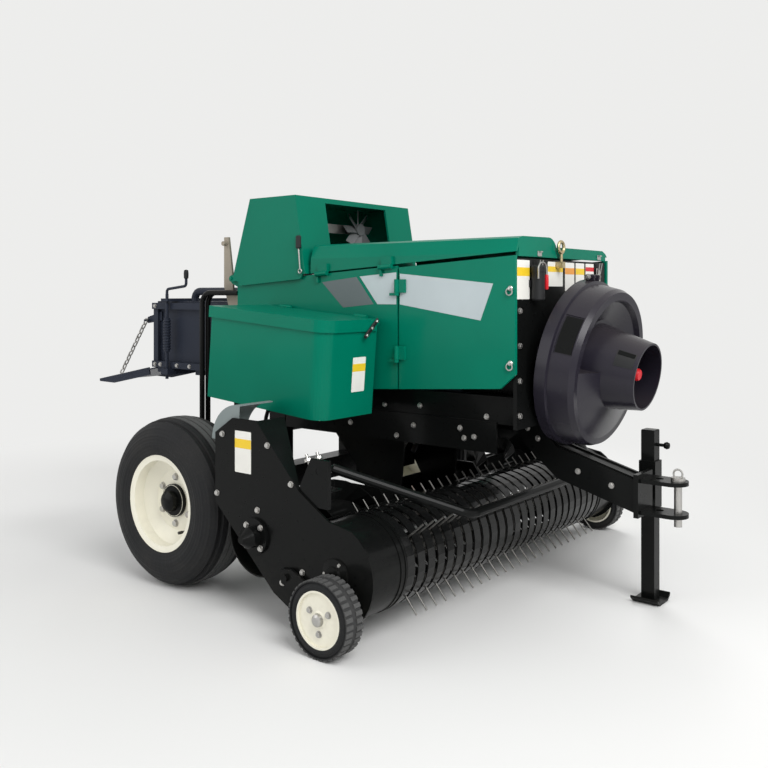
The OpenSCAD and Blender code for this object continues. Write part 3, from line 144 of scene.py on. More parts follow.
class BalerFittings(bpy.types.PropertyGroup):
    """Sizes of the fittings"""

    bolt: length_property("Bolt", "Half width of a usual bolt head", 0.0105)
    big_bolt: length_property("Big bolt", "Half width of a wheel bolt's head", 0.014)
    small_bolt: length_property("Small bolt", "Half width of a small bolt head", 0.0065)
    wheel_circle: length_property("Wheel bolts", "Radius of the circle of the wheel bolts", 0.105)
    gauge_circle: length_property("Gauge bolts", "Radius of the circle of the gauge wheel bolts", 0.052)
    ring: length_property("Ring", "Radius of a door's ring latch", 0.0135)
    wire: length_property("Wire", "Radius of latch rings and hooks", 0.003)
    film: length_property("Film", "Thickness of plates and bands", 0.0008)
    plate_rise: share_property("Stripe rise", "Rise of the stripe over a plate's middle, as a share", 0.2)
    plate_band: share_property("Stripe", "Share of a blank plate that is coloured", 0.22)


class BalerStage(bpy.types.PropertyGroup):
    """Camera, floor and light"""

    camera_x: length_property("Camera forward", "Camera's distance in front of the axle", 3.2423)
    camera_side: length_property("Camera side", "Camera's distance to the right", 3.509)
    camera_height: length_property("Camera height", "Camera's height above the floor", 1.316)
    turn: number_property("Turn", "Direction that the camera looks in", math.radians(38.43), subtype="ANGLE")
    lens: number_property("Lens", "Focal length in millimetres", 41.72)
    shift: number_property("Shift", "Upright shift of the picture", -0.1198)
    floor: colour_property("Floor", "Floor and backdrop", (0.8, 0.8, 0.79))
    backdrop: number_property("Backdrop", "Brightness of the backdrop", 1.06)
    fade_from: length_property("Fade from", "Where the floor begins to take the backdrop's tone", 2.0)
    fade_to: length_property("Fade to", "Where the floor has the backdrop's tone", 4.2)
    key: number_property("Key light", "Power of the main lamp in watts", 270.0)
    fill: number_property("Fill light", "Power of the side lamp in watts", 65.0)
    rim: number_property("Back light", "Power of the lamp behind in watts", 140.0)
    sky: number_property("Sky", "Strength of the even light", 0.55)


def colours():
    return bpy.context.scene.baler_colours


def fittings():
    return bpy.context.scene.baler_fittings


class Value:
    """A node's output that takes part in sums; each sum adds a Math node."""

    def __init__(self, nodes, socket):
        self.nodes = nodes
        self.socket = socket

    def __add__(self, other):
        return self.nodes.math("ADD", self, other)

    def __radd__(self, other):
        return self.nodes.math("ADD", other, self)

    def __sub__(self, other):
        return self.nodes.math("SUBTRACT", self, other)

    def __rsub__(self, other):
        return self.nodes.math("SUBTRACT", other, self)

    def __mul__(self, other):
        return self.nodes.math("MULTIPLY", self, other)

    def __rmul__(self, other):
        return self.nodes.math("MULTIPLY", other, self)


class Nodes:
    """The nodes of a material or a world, added one call at a time."""

    def __init__(self, holder):
        holder.use_nodes = True
        self.tree = holder.node_tree
        self.tree.nodes.clear()

    def node(self, kind, settings=None, sockets=None, out=0):
        made = self.tree.nodes.new(kind)
        for name, value in (settings or {}).items():
            setattr(made, name, value)
        for name, value in (sockets or {}).items():
            if isinstance(value, Value):
                self.tree.links.new(value.socket, made.inputs[name])
            else:
                made.inputs[name].default_value = value
        return Value(self, made.outputs[out]) if made.outputs else made

    def math(self, operation, *values):
        return self.node("ShaderNodeMath", {"operation": operation}, dict(enumerate(values)))


# Sockets of a Mix node that is set to colours.
MIX_FACTOR = 0
MIX_FIRST = 6
MIX_SECOND = 7
MIX_RESULT = 2


class Finish(Nodes):
    """A material with one main shader."""

    def __init__(self, name, constants):
        self.material = bpy.data.materials.new(name)
        super().__init__(self.material)
        self.surface = self.node("ShaderNodeBsdfPrincipled", {}, constants)
        self.shader = self.surface.socket.node
        self.output = self.node("ShaderNodeOutputMaterial", {}, {"Surface": self.surface})
        self.place = self.node("ShaderNodeTexCoord", out="Object")

    def noise(self, scale, detail):
        sockets = {"Vector": self.place, "Scale": scale, "Detail": detail}
        return self.node("ShaderNodeTexNoise", {}, sockets)

    def fade(self, value, low, high):
        """0 below low and 1 above high, with a soft step between them."""
        ends = {"Value": value, "From Min": low, "From Max": high}
        return self.node("ShaderNodeMapRange", {"interpolation_type": "SMOOTHSTEP"}, ends, "Result")

    def blend(self, factor, first, second):
        """A colour between two colours."""
        sockets = {MIX_FACTOR: factor, MIX_FIRST: first, MIX_SECOND: second}
        return self.node("ShaderNodeMix", {"data_type": "RGBA"}, sockets, MIX_RESULT)

    def part(self, vector, axis):
        return self.node("ShaderNodeSeparateXYZ", {}, {"Vector": vector}, axis)

    def facing_up(self):
        return self.part(self.node("ShaderNodeNewGeometry", out="Normal"), "Z")

    def near_floor(self, height):
        """1 on the floor, and 0 from a height upwards."""
        return 1 - self.fade(self.part(self.place, "Z"), 0.0, height)

    def bump(self, height, strength, distance):
        sockets = {"Strength": strength, "Distance": distance, "Height": height}
        self.feed("Normal", self.node("ShaderNodeBump", {}, sockets))

    def feed(self, socket, value):
        self.tree.links.new(value.socket, self.shader.inputs[socket])


def rgb(colour, share=1.0):
    return (*(part * share for part in colour), 1.0)


# Materials by their names, which are slots, tyres or finishes of the fittings.
FINISHES = {}


def painted(name, colour, roughness, soil_height, soil, coat, shine):
    """Sprayed paint with orange peel, faint clouds, small chips and soil on low and level faces."""
    finish = Finish(name, {"Coat Weight": coat, "Coat Roughness": 0.12, "Specular IOR Level": shine})
    cloud = finish.noise(scale=2.6, detail=4.0)
    grain = finish.noise(scale=38.0, detail=4.0)
    level = finish.fade(finish.facing_up(), low=0.55, high=1.0)
    patch = finish.fade(cloud * 0.55 + grain * 0.45, low=0.4, high=0.66)
    soiled = (finish.near_floor(soil_height) * 0.75 + level * 0.3) * patch * soil
    cells = finish.node("ShaderNodeTexVoronoi", {}, {"Vector": finish.place, "Scale": 24.0})
    spots = 1 - finish.fade(cells, low=0.02, high=0.05)
    chips = spots * finish.fade(cloud, low=0.6, high=0.7) * 0.3
    shade = finish.blend(cloud, rgb(colour, 0.86), rgb(colour, 1.12))
    shade = finish.blend(chips, shade, rgb(colours().dust, 0.45))
    finish.feed("Base Color", finish.blend(soiled, shade, rgb(colours().dust)))
    finish.feed("Roughness", roughness + grain * 0.1 + soiled * 0.5)
    orange_peel = finish.noise(scale=420.0, detail=2.0)
    finish.bump(orange_peel + soiled * 0.5, strength=0.06, distance=0.0012)
    return finish.material


def plated(name, colour, roughness):
    """Plated steel with fine drawn lines, dull patches and a trace of rust."""
    finish = Finish(name, {"Metallic": 1.0})
    cloud = finish.noise(scale=9.0, detail=4.0)
    drawn = finish.noise(scale=260.0, detail=3.0)
    rusted = finish.fade(cloud + drawn * 0.3, low=0.78, high=0.95) * 0.6
    shade = finish.blend(cloud, rgb(colour, 0.75), rgb(colour, 1.1))
    finish.feed("Base Color", finish.blend(rusted, shade, rgb(colours().rust)))
    finish.feed("Roughness", roughness + cloud * 0.15 + rusted * 0.4)
    finish.bump(drawn, strength=0.05, distance=0.0006)
    return finish.material


def moulded(name, colour, roughness, scuff, grain_scale=520.0):
    """A moulded, cast or filmed face with a fine grain, pale scuffs and dust."""
    finish = Finish(name, {"Specular IOR Level": 0.3})
    cloud = finish.noise(scale=3.4, detail=4.0)
    grain = finish.noise(scale=grain_scale, detail=2.0)
    streak = finish.noise(scale=22.0, detail=5.0)
    scuffs = finish.fade(streak * 0.7 + cloud * 0.3, low=0.6, high=0.72) * scuff
    level = finish.fade(finish.facing_up(), low=0.3, high=1.0)
    dusty = (level * 0.12 + finish.near_floor(0.5) * 0.3) * cloud
    shade = finish.blend(cloud, rgb(colour, 0.88), rgb(colour, 1.12))
    shade = finish.blend(scuffs, shade, rgb(colour, 1.9))
    finish.feed("Base Color", finish.blend(dusty, shade, rgb(colours().dust)))
    finish.feed("Roughness", roughness + grain * 0.08 + scuffs * 0.2)
    finish.bump(grain, strength=0.08, distance=0.0008)
    return finish.material


def tyre_rubber(name, rings, ridges):
    """Rubber with moulded rings and ridges round the wheel's middle, dust, and a paler tread that is partly
    wear and partly a painted highlight of sunlight.
    """
    finish = Finish(name, {"Specular IOR Level": 0.2})
    centre = middle(name)
    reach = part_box(name)[1][2] - centre.z
    ends = {0: finish.place, 1: tuple(centre)}
    from_hub = finish.node("ShaderNodeVectorMath", {"operation": "SUBTRACT"}, ends)
    across = finish.part(from_hub, "X")
    height = finish.part(from_hub, "Z")
    radius = finish.math("SQRT", across * across + height * height)
    angle = finish.math("ARCTAN2", height, across)
    ring = finish.math("SINE", radius * rings)
    ridge = finish.fade(finish.math("SINE", angle * ridges), low=0.7, high=0.95)
    cloud = finish.noise(scale=5.0, detail=4.0)
    grain = finish.noise(scale=180.0, detail=3.0)
    dusty = finish.fade(cloud * 0.6 + grain * 0.4, low=0.42, high=0.7) * 0.1
    shade = finish.blend(cloud, rgb(colours().rubber, 0.8), rgb(colours().rubber, 1.5))
    shade = finish.blend(dusty, shade, rgb(colours().dust, 0.5))
    # Paler tread all round the rim: partly wear, partly a painted highlight of sunlight falling on the tread.
    wear_and_sunlight = finish.fade(radius, low=reach - 0.008, high=reach - 0.001) * (0.35 + grain * 0.5)
    finish.feed("Base Color", finish.blend(wear_and_sunlight, shade, rgb(colours().tread)))
    finish.feed("Roughness", 0.55 + grain * 0.2 + dusty * 0.4)
    finish.bump(ring * 0.35 + ridge * 0.3 + grain * 0.35, strength=0.35, distance=0.003)
    return finish.material


# Paints: colour, roughness, height that soil reaches, soil, clear coat and shine.
PAINTS = {
    "green_paint": ("green", 0.3, 0.9, 0.02, 0.09, 0.05),
    "black_paint": ("black", 0.24, 0.5, 0.03, 0.14, 0.05),
    "slate_paint": ("slate", 0.36, 0.9, 0.12, 0.08, 0.1),
    "pale_rim": ("cream", 0.3, 0.45, 0.16, 0.3, 0.3),
    "band_paint": ("band", 0.16, 0.5, 0.03, 0.28, 0.08),
}
# Platings: colour and roughness.
PLATINGS = {"zinc_steel": ("zinc", 0.3), "brass_zinc": ("brass", 0.28), "spring_steel": ("spring", 0.42)}
# Moulded faces: colour, roughness, scuffs, and the grain's scale where it isn't the usual one.
MOULDINGS = {
    "cast_iron": ("cast", 0.5, 0.3, 160.0),
    "fan_grey": ("fan", 0.4, 0.15),
    "shield_plastic": ("plastic", 0.22, 0.05),
    "pale_plastic": ("pale", 0.45, 0.2),
    "silver_film": ("silver", 0.3, 0.05, 300.0),
    "grey_film": ("grey", 0.3, 0.1, 300.0),
    "white_film": ("white", 0.35, 0.05, 300.0),
    "yellow_film": ("yellow", 0.35, 0.05, 300.0),
    "orange_film": ("orange", 0.35, 0.05, 300.0),
    "red_plastic": ("red", 0.3, 0.1),
    "black_rubber": ("rubber", 0.5, 0.2, 260.0),
}
# Tyres: the rings' wave in radians per metre of radius, and the ridges in a turn.
TYRES = {"tyre": (420.0, 60.0), "gauge_tyre": (700.0, 40.0)}
# CAD nodes with another finish than their slot's.
OWN_FINISHES = {"stripper_bands": "band_paint", "tine_reel": "spring_steel", "trip_arm": "cast_iron",
                "knotter_fan": "fan_grey"}


def make_finishes():
    for kind, rows in ((painted, PAINTS), (plated, PLATINGS), (moulded, MOULDINGS)):
        for name, (colour, *looks) in rows.items():
            FINISHES[name] = kind(name, getattr(colours(), colour), *looks)
    for wheel, pattern in TYRES.items():
        for side in SIDES:
            node = f"{wheel}_{side}"
            FINISHES[node] = tyre_rubber(node, *pattern)


def facing(point, normal):
    """A matrix that puts local +Z along a normal at a point."""
    return Matrix.Translation(point) @ Vector(normal).to_track_quat("Z", "Y").to_matrix().to_4x4()


def lying(point, along, normal):
    """A matrix with local +X along one direction and +Z along the normal."""
    z = Vector(normal).normalized()
    x = (Vector(along) - z * z.dot(Vector(along))).normalized()
    turn = Matrix((x, z.cross(x), z)).transposed().to_4x4()
    return Matrix.Translation(point) @ turn


def moved(place, x=0.0, y=0.0, z=0.0):
    return place @ Matrix.Translation((x, y, z))


def soften(bm, edges, offset, segments=1):
    bmesh.ops.bevel(bm, geom=edges, offset=offset, offset_type="OFFSET", affect="EDGES",
                    segments=segments, profile=0.5, material=-1, clamp_overlap=True)


def edges_of(verts):
    return list(dict.fromkeys(edge for vert in verts for edge in vert.link_edges))


def only(kind, geometry):
    return [item for item in geometry if isinstance(item, kind)]


# A bolt's parts, as shares of half its head's width.
WASHER_DEPTH = 0.25
WASHER_FOOT = 1.25
WASHER_TOP = 1.2
HEAD_DEPTH = 0.65
HEAD_BEVEL = 0.12


def add_bolt(bm, place, size):
    """A washer and a hexagon head with a softened top."""
    washer = size * WASHER_DEPTH
    bmesh.ops.create_cone(bm, cap_ends=True, segments=14, radius1=size * WASHER_FOOT,
                          radius2=size * WASHER_TOP, depth=washer, matrix=moved(place, z=washer / 2))
    depth = size * HEAD_DEPTH
    head = bmesh.ops.create_cone(bm, cap_ends=True, segments=6, radius1=size, radius2=size, depth=depth,
                                 matrix=moved(place, z=washer + depth / 2))["verts"]
    top = place.to_3x3() @ Z
    level = max(vert.co.dot(top) for vert in head)
    rim = [edge for edge in edges_of(head)
           if all(vert.co.dot(top) > level - depth / 4 for vert in edge.verts)]
    soften(bm, rim, size * HEAD_BEVEL)


def add_rod(bm, start, end, radius, segments=12):
    along = end - start
    bmesh.ops.create_cone(bm, cap_ends=True, segments=segments, radius1=radius, radius2=radius,
                          depth=along.length, matrix=facing((start + end) / 2, along))


def add_stem(bm, foot, out, stem, segments=12):
    """A rod along a direction; the stem gives its start and end from the foot, and its radius."""
    start, end, radius = stem
    add_rod(bm, foot + out * start, foot + out * end, radius, segments)


def spin_round(bm, place, geometry, segments):
    """A full turn round the place's +Z."""
    bmesh.ops.spin(bm, geom=geometry, cent=place.translation, axis=place.to_3x3() @ Z,
                   angle=FULL_TURN, steps=segments, use_merge=True)


def add_ring(bm, place, big, small, segments=24):
    across = moved(place, x=big) @ Matrix.Rotation(math.pi / 2, 4, "X")
    circle = bmesh.ops.create_circle(bm, segments=8, radius=small, matrix=across)["verts"]
    spin_round(bm, place, circle + edges_of(circle), segments)


def add_turned(bm, place, profile, segments=28):
    """A turned piece from a profile of (radius, height) along the place's +Z."""
    verts = [bm.verts.new(place @ Vector((radius, 0, height))) for radius, height in profile]
    edges = [bm.edges.new(pair) for pair in zip(verts, verts[1:])]
    spin_round(bm, place, verts + edges, segments)
    bmesh.ops.remove_doubles(bm, verts=bm.verts, dist=1e-6)


def add_block(bm, place, size, corner=0.0, bevel=0.0):
    """A block standing on the place's XY plane, with round upright corners or soft edges."""
    shape = moved(place, z=size[2] / 2) @ Matrix.Diagonal((*size, 1))
    edges = edges_of(bmesh.ops.create_cube(bm, size=1.0, matrix=shape)["verts"])
    if corner:
        up = place.to_3x3() @ Z
        upright = [edge for edge in edges
                   if abs((edge.verts[0].co - edge.verts[1].co).normalized().dot(up)) > 0.9]
        soften(bm, upright, corner, segments=3)
    elif bevel:
        soften(bm, edges, bevel)


def add_outline(bm, place, points, thick):
    """A plate of any outline, drawn in the place's XY plane."""
    face = bm.faces.new([bm.verts.new(place @ Vector((x, y, 0))) for x, y in points])
    made = bmesh.ops.extrude_face_region(bm, geom=[face])["geom"]
    bmesh.ops.translate(bm, verts=only(bmesh.types.BMVert, made), vec=(place.to_3x3() @ Z) * thick)


def add_sweep(bm, path, radius, segments):
    """A round bar along a list of points."""
    last = len(path) - 1
    ways = [path[min(i + 1, last)] - path[max(i - 1, 0)] for i in range(len(path))]
    ring = bmesh.ops.create_circle(bm, cap_ends=True, segments=segments, radius=radius,
                                   matrix=facing(path[0], ways[0]))["verts"]
    edges = edges_of(ring)
    for before, after, old, new in zip(path, path[1:], ways, ways[1:]):
        made = bmesh.ops.extrude_edge_only(bm, edges=edges)["geom"]
        edges = only(bmesh.types.BMEdge, made)
        turn = old.rotation_difference(new).to_matrix().to_4x4()
        step = Matrix.Translation(after) @ turn @ Matrix.Translation(-before)
        bmesh.ops.transform(bm, matrix=step, verts=only(bmesh.types.BMVert, made))
    bmesh.ops.edgeloop_fill(bm, edges=edges)


# Edges that turn by more than this stay sharp.
SHARP_ANGLE = math.radians(32)


@contextmanager
def new_piece(name, finish, body, slot=None):
    """Gives a mesh to model, and then makes it an object in its place that rides on a body."""
    slot = slot or finish
    bm = bmesh.new()
    yield bm
    bmesh.ops.recalc_face_normals(bm, faces=bm.faces)
    mesh = bpy.data.meshes.new(name)
    bm.to_mesh(mesh)
    bm.free()
    mesh.shade_smooth()
    mesh.set_sharp_from_angle(angle=SHARP_ANGLE)
    mesh.materials.append(FINISHES[finish])
    piece = bpy.data.objects.new(name, mesh)
    bpy.context.scene.collection.objects.link(piece)
    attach(piece, body)


def bolts(name, body, places, size):
    with new_piece(name, "zinc_steel", body) as bm:
        for place in places:
            add_bolt(bm, place, size)


def side_places(points, y, sign):
    """Places on a face that looks sideways, given as (forward, height)."""
    return [facing(beside(point, sign * y), Y * sign) for point in points]


def circle_places(centre, out, radius, count, first=0.5):
    """Places on a circle round an axis that lies across; the first is given as a share of a step."""
    turns = [FULL_TURN * (i + first) / count for i in range(count)]
    return [facing(centre + Vector((math.cos(turn), 0, math.sin(turn))) * radius, out) for turn in turns]


class BALER_OT_finishes(bpy.types.Operator):
    """Gives every CAD node its paint, rubber, plastic or plating"""

    bl_idname = "baler.finishes"
    bl_label = "Finishes"

    def execute(self, context):
        make_finishes()
        slots = {part["node"]: part["material_slot"] for part in frame["record"]["subparts"]}
        for node, piece in frame["nodes"].items():
            material = FINISHES.get(node) or FINISHES[OWN_FINISHES.get(node, slots[node])]
            for holder in piece.material_slots:
                holder.material = material
        return {"FINISHED"}


# Main wheels: distances out from the tyre's middle, a turned cover and a valve with its cap.
WHEEL_BOLTS = 6
DISC_OUT = 0.033
HUB_COVER = ((0.0705, 0.002), (0.074, 0.002), (0.074, 0.018), (0.06, 0.0205), (0.046, 0.022),
             (0.044, 0.05), (0.03, 0.06), (0.0, 0.062))
VALVE_OUT = 0.06
VALVE_PLACE = Vector((0.115, 0, -0.115))
VALVE_STEM = (0.0, 0.045, 0.005)
VALVE_CAP = (0.03, 0.05, 0.0068)
# Gauge wheels.
GAUGE_BOLTS = 3
GAUGE_DISC_OUT = 0.0331
GAUGE_CAP_OUT = 0.0369
GAUGE_CAP = ((0.013, 0.0), (0.024, 0.0), (0.022, 0.012), (0.014, 0.018), (0.0, 0.019))


class BALER_OT_wheels(bpy.types.Operator):
    """Bolts, hub covers and valves of the main wheels, bolts and caps of the gauge wheels"""

    bl_idname = "baler.wheels"
    bl_label = "Wheel fittings"

    def execute(self, context):
        for side, sign in SIDES.items():
            self.main_wheel(side, Y * sign)
            self.gauge_wheel(side, Y * sign)
        return {"FINISHED"}

    def main_wheel(self, side, out):
        sizes = fittings()
        body = f"wheel_{side}"
        hub = middle(f"tyre_{side}")
        disc = hub + out * DISC_OUT
        studs = circle_places(disc, out, sizes.wheel_circle, WHEEL_BOLTS)
        bolts(f"wheel_bolts_{side}", body, studs, sizes.big_bolt)
        with new_piece(f"hub_cover_{side}", "black_paint", body) as bm:
            add_turned(bm, facing(disc, out), HUB_COVER)
        with new_piece(f"valve_{side}", "black_rubber", body, "tyre_rubber") as bm:
            foot = hub + out * VALVE_OUT + VALVE_PLACE
            add_stem(bm, foot, out, VALVE_STEM)
            add_stem(bm, foot, out, VALVE_CAP)

    def gauge_wheel(self, side, out):
        sizes = fittings()
        body = f"gauge_wheel_{side}"
        hub = middle(f"gauge_tyre_{side}")
        studs = circle_places(hub + out * GAUGE_DISC_OUT, out, sizes.gauge_circle, GAUGE_BOLTS, first=0.25)
        bolts(f"gauge_bolts_{side}", body, studs, sizes.bolt)
        with new_piece(f"gauge_cap_{side}", "zinc_steel", body) as bm:
            add_turned(bm, facing(hub + out * GAUGE_CAP_OUT, out), GAUGE_CAP, segments=20)


# Side bands: name, finish, what it is on, and its corners as (forward, height).
SIDE_BANDS = (
    ("grey_band", "grey_film", "panel", ((0.43, 1.362), (0.64, 1.384), (0.74, 1.262), (0.56, 1.245))),
    ("silver_band", "silver_film", "panel", ((0.66, 1.386), (0.868, 1.402), (0.868, 1.262), (0.762, 1.262))),
    ("silver_end", "silver_film", "door", ((0.888, 1.396), (1.36, 1.35), (1.3, 1.2), (0.888, 1.262))),
)


class BALER_OT_bands(bpy.types.Operator):
    """Plain grey and silver bands along both sides"""

    bl_idname = "baler.bands"
    bl_label = "Side bands"

    def execute(self, context):
        for side, sign in SIDES.items():
            place = lying(at(0, sign * BODY_SIDE, 0), X, Y * sign)
            for name, finish, holder, points in SIDE_BANDS:
                body = f"door_{side}" if holder == "door" else "chassis"
                with new_piece(f"{name}_{side}", finish, body, "green_paint") as bm:
                    add_outline(bm, place, [(x, -sign * z) for x, z in points], fittings().film)
        return {"FINISHED"}


# Ring latches of the doors.
RING_FORWARD = 1.438
RING_HEIGHTS = (1.032, 1.33)
RING_BOSS = ((0.0, 0.006), (0.008, 0.005), (0.012, 0.0))
RING_STUD = (0.004, 0.011, 0.0045)
RING_OUT = 0.008
# Draw latches: where they sit across, and blocks as (width, height, thickness).
LATCH_ACROSS = {"right": -0.235, "left": 0.33}
KEEPER_HEIGHT = 1.474
KEEPER_PLATE = (0.034, 0.022, 0.004)
KEEPER_LIP = (0.02, 0.005, 0.013)
KEEPER_LIP_RISE = 0.008
LATCH_HEIGHT = 1.4
LATCH_BASE = (0.03, 0.05, 0.004)
LATCH_LEVER = (0.022, 0.06, 0.007)
LATCH_LEVER_DROP = 0.012
LOOP_SIDE = 0.012
LOOP_OUT = 0.009
LOOP_LEG = Vector((0.009, 0, 0.048))
# Hood straps: places as (forward, height).
HOOD_STRAP = (0.03, 0.062, 0.016)
HOOD_STRAP_PLACE = (0.302, 1.553)
HOOK_OUT = 0.008
HOOK_TOP = (0.302, 1.526)
HOOK_FOOT = (0.312, 1.425)
HOOK_RING = 0.01
# Straps on the twine lids: place and slant as (across, up).
LID_STRAP = (0.12, 0.018, 0.009)
LID_STRAP_PLACE = (0.515, 1.158)
LID_STRAP_SLANT = (-0.097, 0.084)
LID_STRAP_BOLTS = (-0.045, 0.0, 0.045)


class BALER_OT_latches(bpy.types.Operator):
    """Ring latches on the doors, draw latches on the covers, straps on the hood and on the lids"""

    bl_idname = "baler.latches"
    bl_label = "Latches"

    def execute(self, context):
        for side, sign in SIDES.items():
            self.door_rings(side, sign)
            self.draw_latch(side)
            self.hood_strap(side, sign)
            self.lid_strap(side, sign)
        return {"FINISHED"}

    def door_rings(self, side, sign):
        """A boss with a stud and a ring that hangs from it, twice on each door."""
        sizes = fittings()
        out = Y * sign
        with new_piece(f"door_rings_{side}", "zinc_steel", f"door_{side}") as bm:
            for z in RING_HEIGHTS:
                eye = at(RING_FORWARD, sign * BODY_SIDE, z)
                add_turned(bm, facing(eye, out), RING_BOSS, segments=16)
                add_stem(bm, eye, out, RING_STUD, segments=10)
                hanging = eye + out * RING_OUT - Z * sizes.ring
                add_ring(bm, facing(hanging, out), sizes.ring, sizes.wire)

    def draw_latch(self, side):
        """A keeper on the cover's front wall and a lever with a wire loop on the bulkhead."""
        y = LATCH_ACROSS[side]
        with new_piece(f"latch_keeper_{side}", "zinc_steel", f"cover_{side}") as bm:
            keeper = lying(at(COVER_FRONT, y, KEEPER_HEIGHT), Y, X)
            add_block(bm, keeper, KEEPER_PLATE, bevel=0.001)
            add_block(bm, moved(keeper, y=KEEPER_LIP_RISE), KEEPER_LIP, bevel=0.001)
        with new_piece(f"draw_latch_{side}", "zinc_steel", "chassis") as bm:
            base = lying(at(BULKHEAD, y, LATCH_HEIGHT), Y, X)
            add_block(bm, base, LATCH_BASE, bevel=0.001)
            add_block(bm, moved(base, y=-LATCH_LEVER_DROP, z=LATCH_BASE[2]), LATCH_LEVER, bevel=0.002)
            for shift in (-LOOP_SIDE, LOOP_SIDE):
                low = base @ Vector((shift, 0.0, LOOP_OUT))
                add_rod(bm, low, low + LOOP_LEG, fittings().wire, segments=8)

    def hood_strap(self, side, sign):
        """A rubber strap on the hood with a rod and a ring below it."""
        out = Y * sign
        wire = fittings().wire
        with new_piece(f"hood_strap_{side}", "black_rubber", "hood", "tyre_rubber") as bm:
            place = lying(beside(HOOD_STRAP_PLACE, sign * HOOD_SIDE), X, out)
            add_block(bm, place, HOOD_STRAP, bevel=0.005)
        with new_piece(f"hood_hook_{side}", "zinc_steel", "hood") as bm:
            top, foot = (beside(end, sign * (HOOD_SIDE + HOOK_OUT)) for end in (HOOK_TOP, HOOK_FOOT))
            add_rod(bm, top, foot, wire, segments=8)
            add_ring(bm, facing(foot - Z * HOOK_RING, out), HOOK_RING, wire, segments=16)

    def lid_strap(self, side, sign):
        """A slanting rubber latch on the lid's lip, in front of the twine box."""
        body = f"lid_{side}"
        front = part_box(f"twine_lid_{side}")[1][0]
        across, height = LID_STRAP_PLACE
        slant = Vector((0, sign * LID_STRAP_SLANT[0], LID_STRAP_SLANT[1]))
        place = lying(Vector((front, sign * across, height)), slant, X)
        with new_piece(f"lid_strap_{side}", "black_rubber", body, "tyre_rubber") as bm:
            add_block(bm, place, LID_STRAP, bevel=0.003)
        studs = [moved(place, x=shift, z=LID_STRAP[2]) for shift in LID_STRAP_BOLTS]
        bolts(f"lid_strap_bolts_{side}", body, studs, fittings().small_bolt)


# Plates on the bulkhead: across, height, the plate's width and height, and the stripe's finish.
BULKHEAD_PLATES = (
    (-0.358, 1.366, (0.104, 0.158), "yellow_film"),
    (-0.083, 1.392, (0.135, 0.104), "yellow_film"),
    (0.05, 1.382, (0.088, 0.124), "orange_film"),
    (0.15, 1.382, (0.084, 0.124), "yellow_film"),
    (0.248, 1.402, (0.082, 0.084), "red_plastic"),
)
# Plates on the pickup, placed as (forward, height), and on the twine boxes, placed as (across, height).
PICKUP_PLATE = (0.094, 0.168)
PICKUP_PLATE_PLACE = (0.565, 0.67)
TWINE_PLATE = (0.085, 0.15)
TWINE_PLATE_PLACE = (0.565, 0.96)
# The twine boxes' front walls lean: how far back they are at the plates, and their normal.
TWINE_WALL_BACK = 0.0155
TWINE_WALL_NORMAL = X - Z * 0.08
PLATE_CORNER = 0.004


class BALER_OT_plates(bpy.types.Operator):
    """Plain blank plates with a coloured stripe, on the bulkhead, the pickup and the twine boxes"""

    bl_idname = "baler.plates"
    bl_label = "Blank plates"

    def execute(self, context):
        for i, (y, z, size, stripe) in enumerate(BULKHEAD_PLATES):
            self.plate(f"bulkhead_{i}", "chassis", lying(at(BULKHEAD, y, z), Y, X), size, stripe)
        for side, sign in SIDES.items():
            place = lying(beside(PICKUP_PLATE_PLACE, sign * PLATE_SIDE), X * -sign, Y * sign)
            self.plate(f"pickup_{side}", "pickup", place, PICKUP_PLATE, "yellow_film")
        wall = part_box("twine_box_right")[1][0] - TWINE_WALL_BACK
        across, height = TWINE_PLATE_PLACE
        for side, sign in SIDES.items():
            place = lying(Vector((wall, sign * across, height)), Y, TWINE_WALL_NORMAL)
            self.plate(f"twine_{side}", "chassis", place, TWINE_PLATE, "yellow_film")
        return {"FINISHED"}

    def plate(self, name, body, place, size, stripe):
        """A white plate with one stripe across it."""
        sizes = fittings()
        width, height = size
        with new_piece(f"plate_{name}", "white_film", body, "pale_rim") as bm:
            add_block(bm, place, (width, height, sizes.film), corner=PLATE_CORNER)
        with new_piece(f"plate_stripe_{name}", stripe, body, "pale_rim") as bm:
            raised = moved(place, y=height * sizes.plate_rise, z=sizes.film)
            add_block(bm, raised, (width, height * sizes.plate_band, sizes.film / 2))


# The shield's own zero lies on its axis, this far behind the end of the input shaft.
SHAFT_REACH = 0.143
# The clamp on top of the shield; turns are in radians.
CLAMP_TURN = 0.06
CLAMP_RADIUS = 0.353
CLAMP_FORWARD = -0.016
CLAMP_EAR = (0.04, 0.012, 0.026)
CLAMP_BOLT_RADIUS = 0.371
CLAMP_BOLT_END = 0.16
CLAMP_HEAD_TURN = 0.13
CLAMP_BOLT = 0.005
# The cap on the input stub, as a turned profile.
STUB_CAP_FORWARD = 0.165
STUB_CAP = ((0.0185, 0.0), (0.025, 0.0), (0.027, 0.004), (0.026, 0.078), (0.021, 0.087), (0.0, 0.089))
# Panels: name, finish, turns in degrees, and the (radius, forward) of their back and front edges.
SHIELD_PANELS = (
    ("shield_patch", "black_paint", (51, 78), (0.3372, 0.022), (0.3316, 0.093)),
    ("cone_panel", "black_rubber", (49, 75), (0.1563, 0.195), (0.1421, 0.272)),
    ("cone_slot", "black_paint", (50, 57), (0.1572, 0.199), (0.1444, 0.268)),
)


class ShieldAxis:
    """The axis of the flywheel shield, and points round it."""

    def __init__(self):
        mount = next(mount for mount in frame["record"]["mounts"] if mount["name"] == "input_shaft")
        self.along = Vector(mount["axis"]).normalized()
        self.hub = Vector(mount["pos_m"]) - self.along * SHAFT_REACH
        self.up = (Z - self.along * self.along.z).normalized()

    def outward(self, turn):
        """Turn 0 is up and grows to the right."""
        return self.up * math.cos(turn) - Y * math.sin(turn)

    def point(self, turn, radius, forward):
        return self.hub + self.along * forward + self.outward(turn) * radius


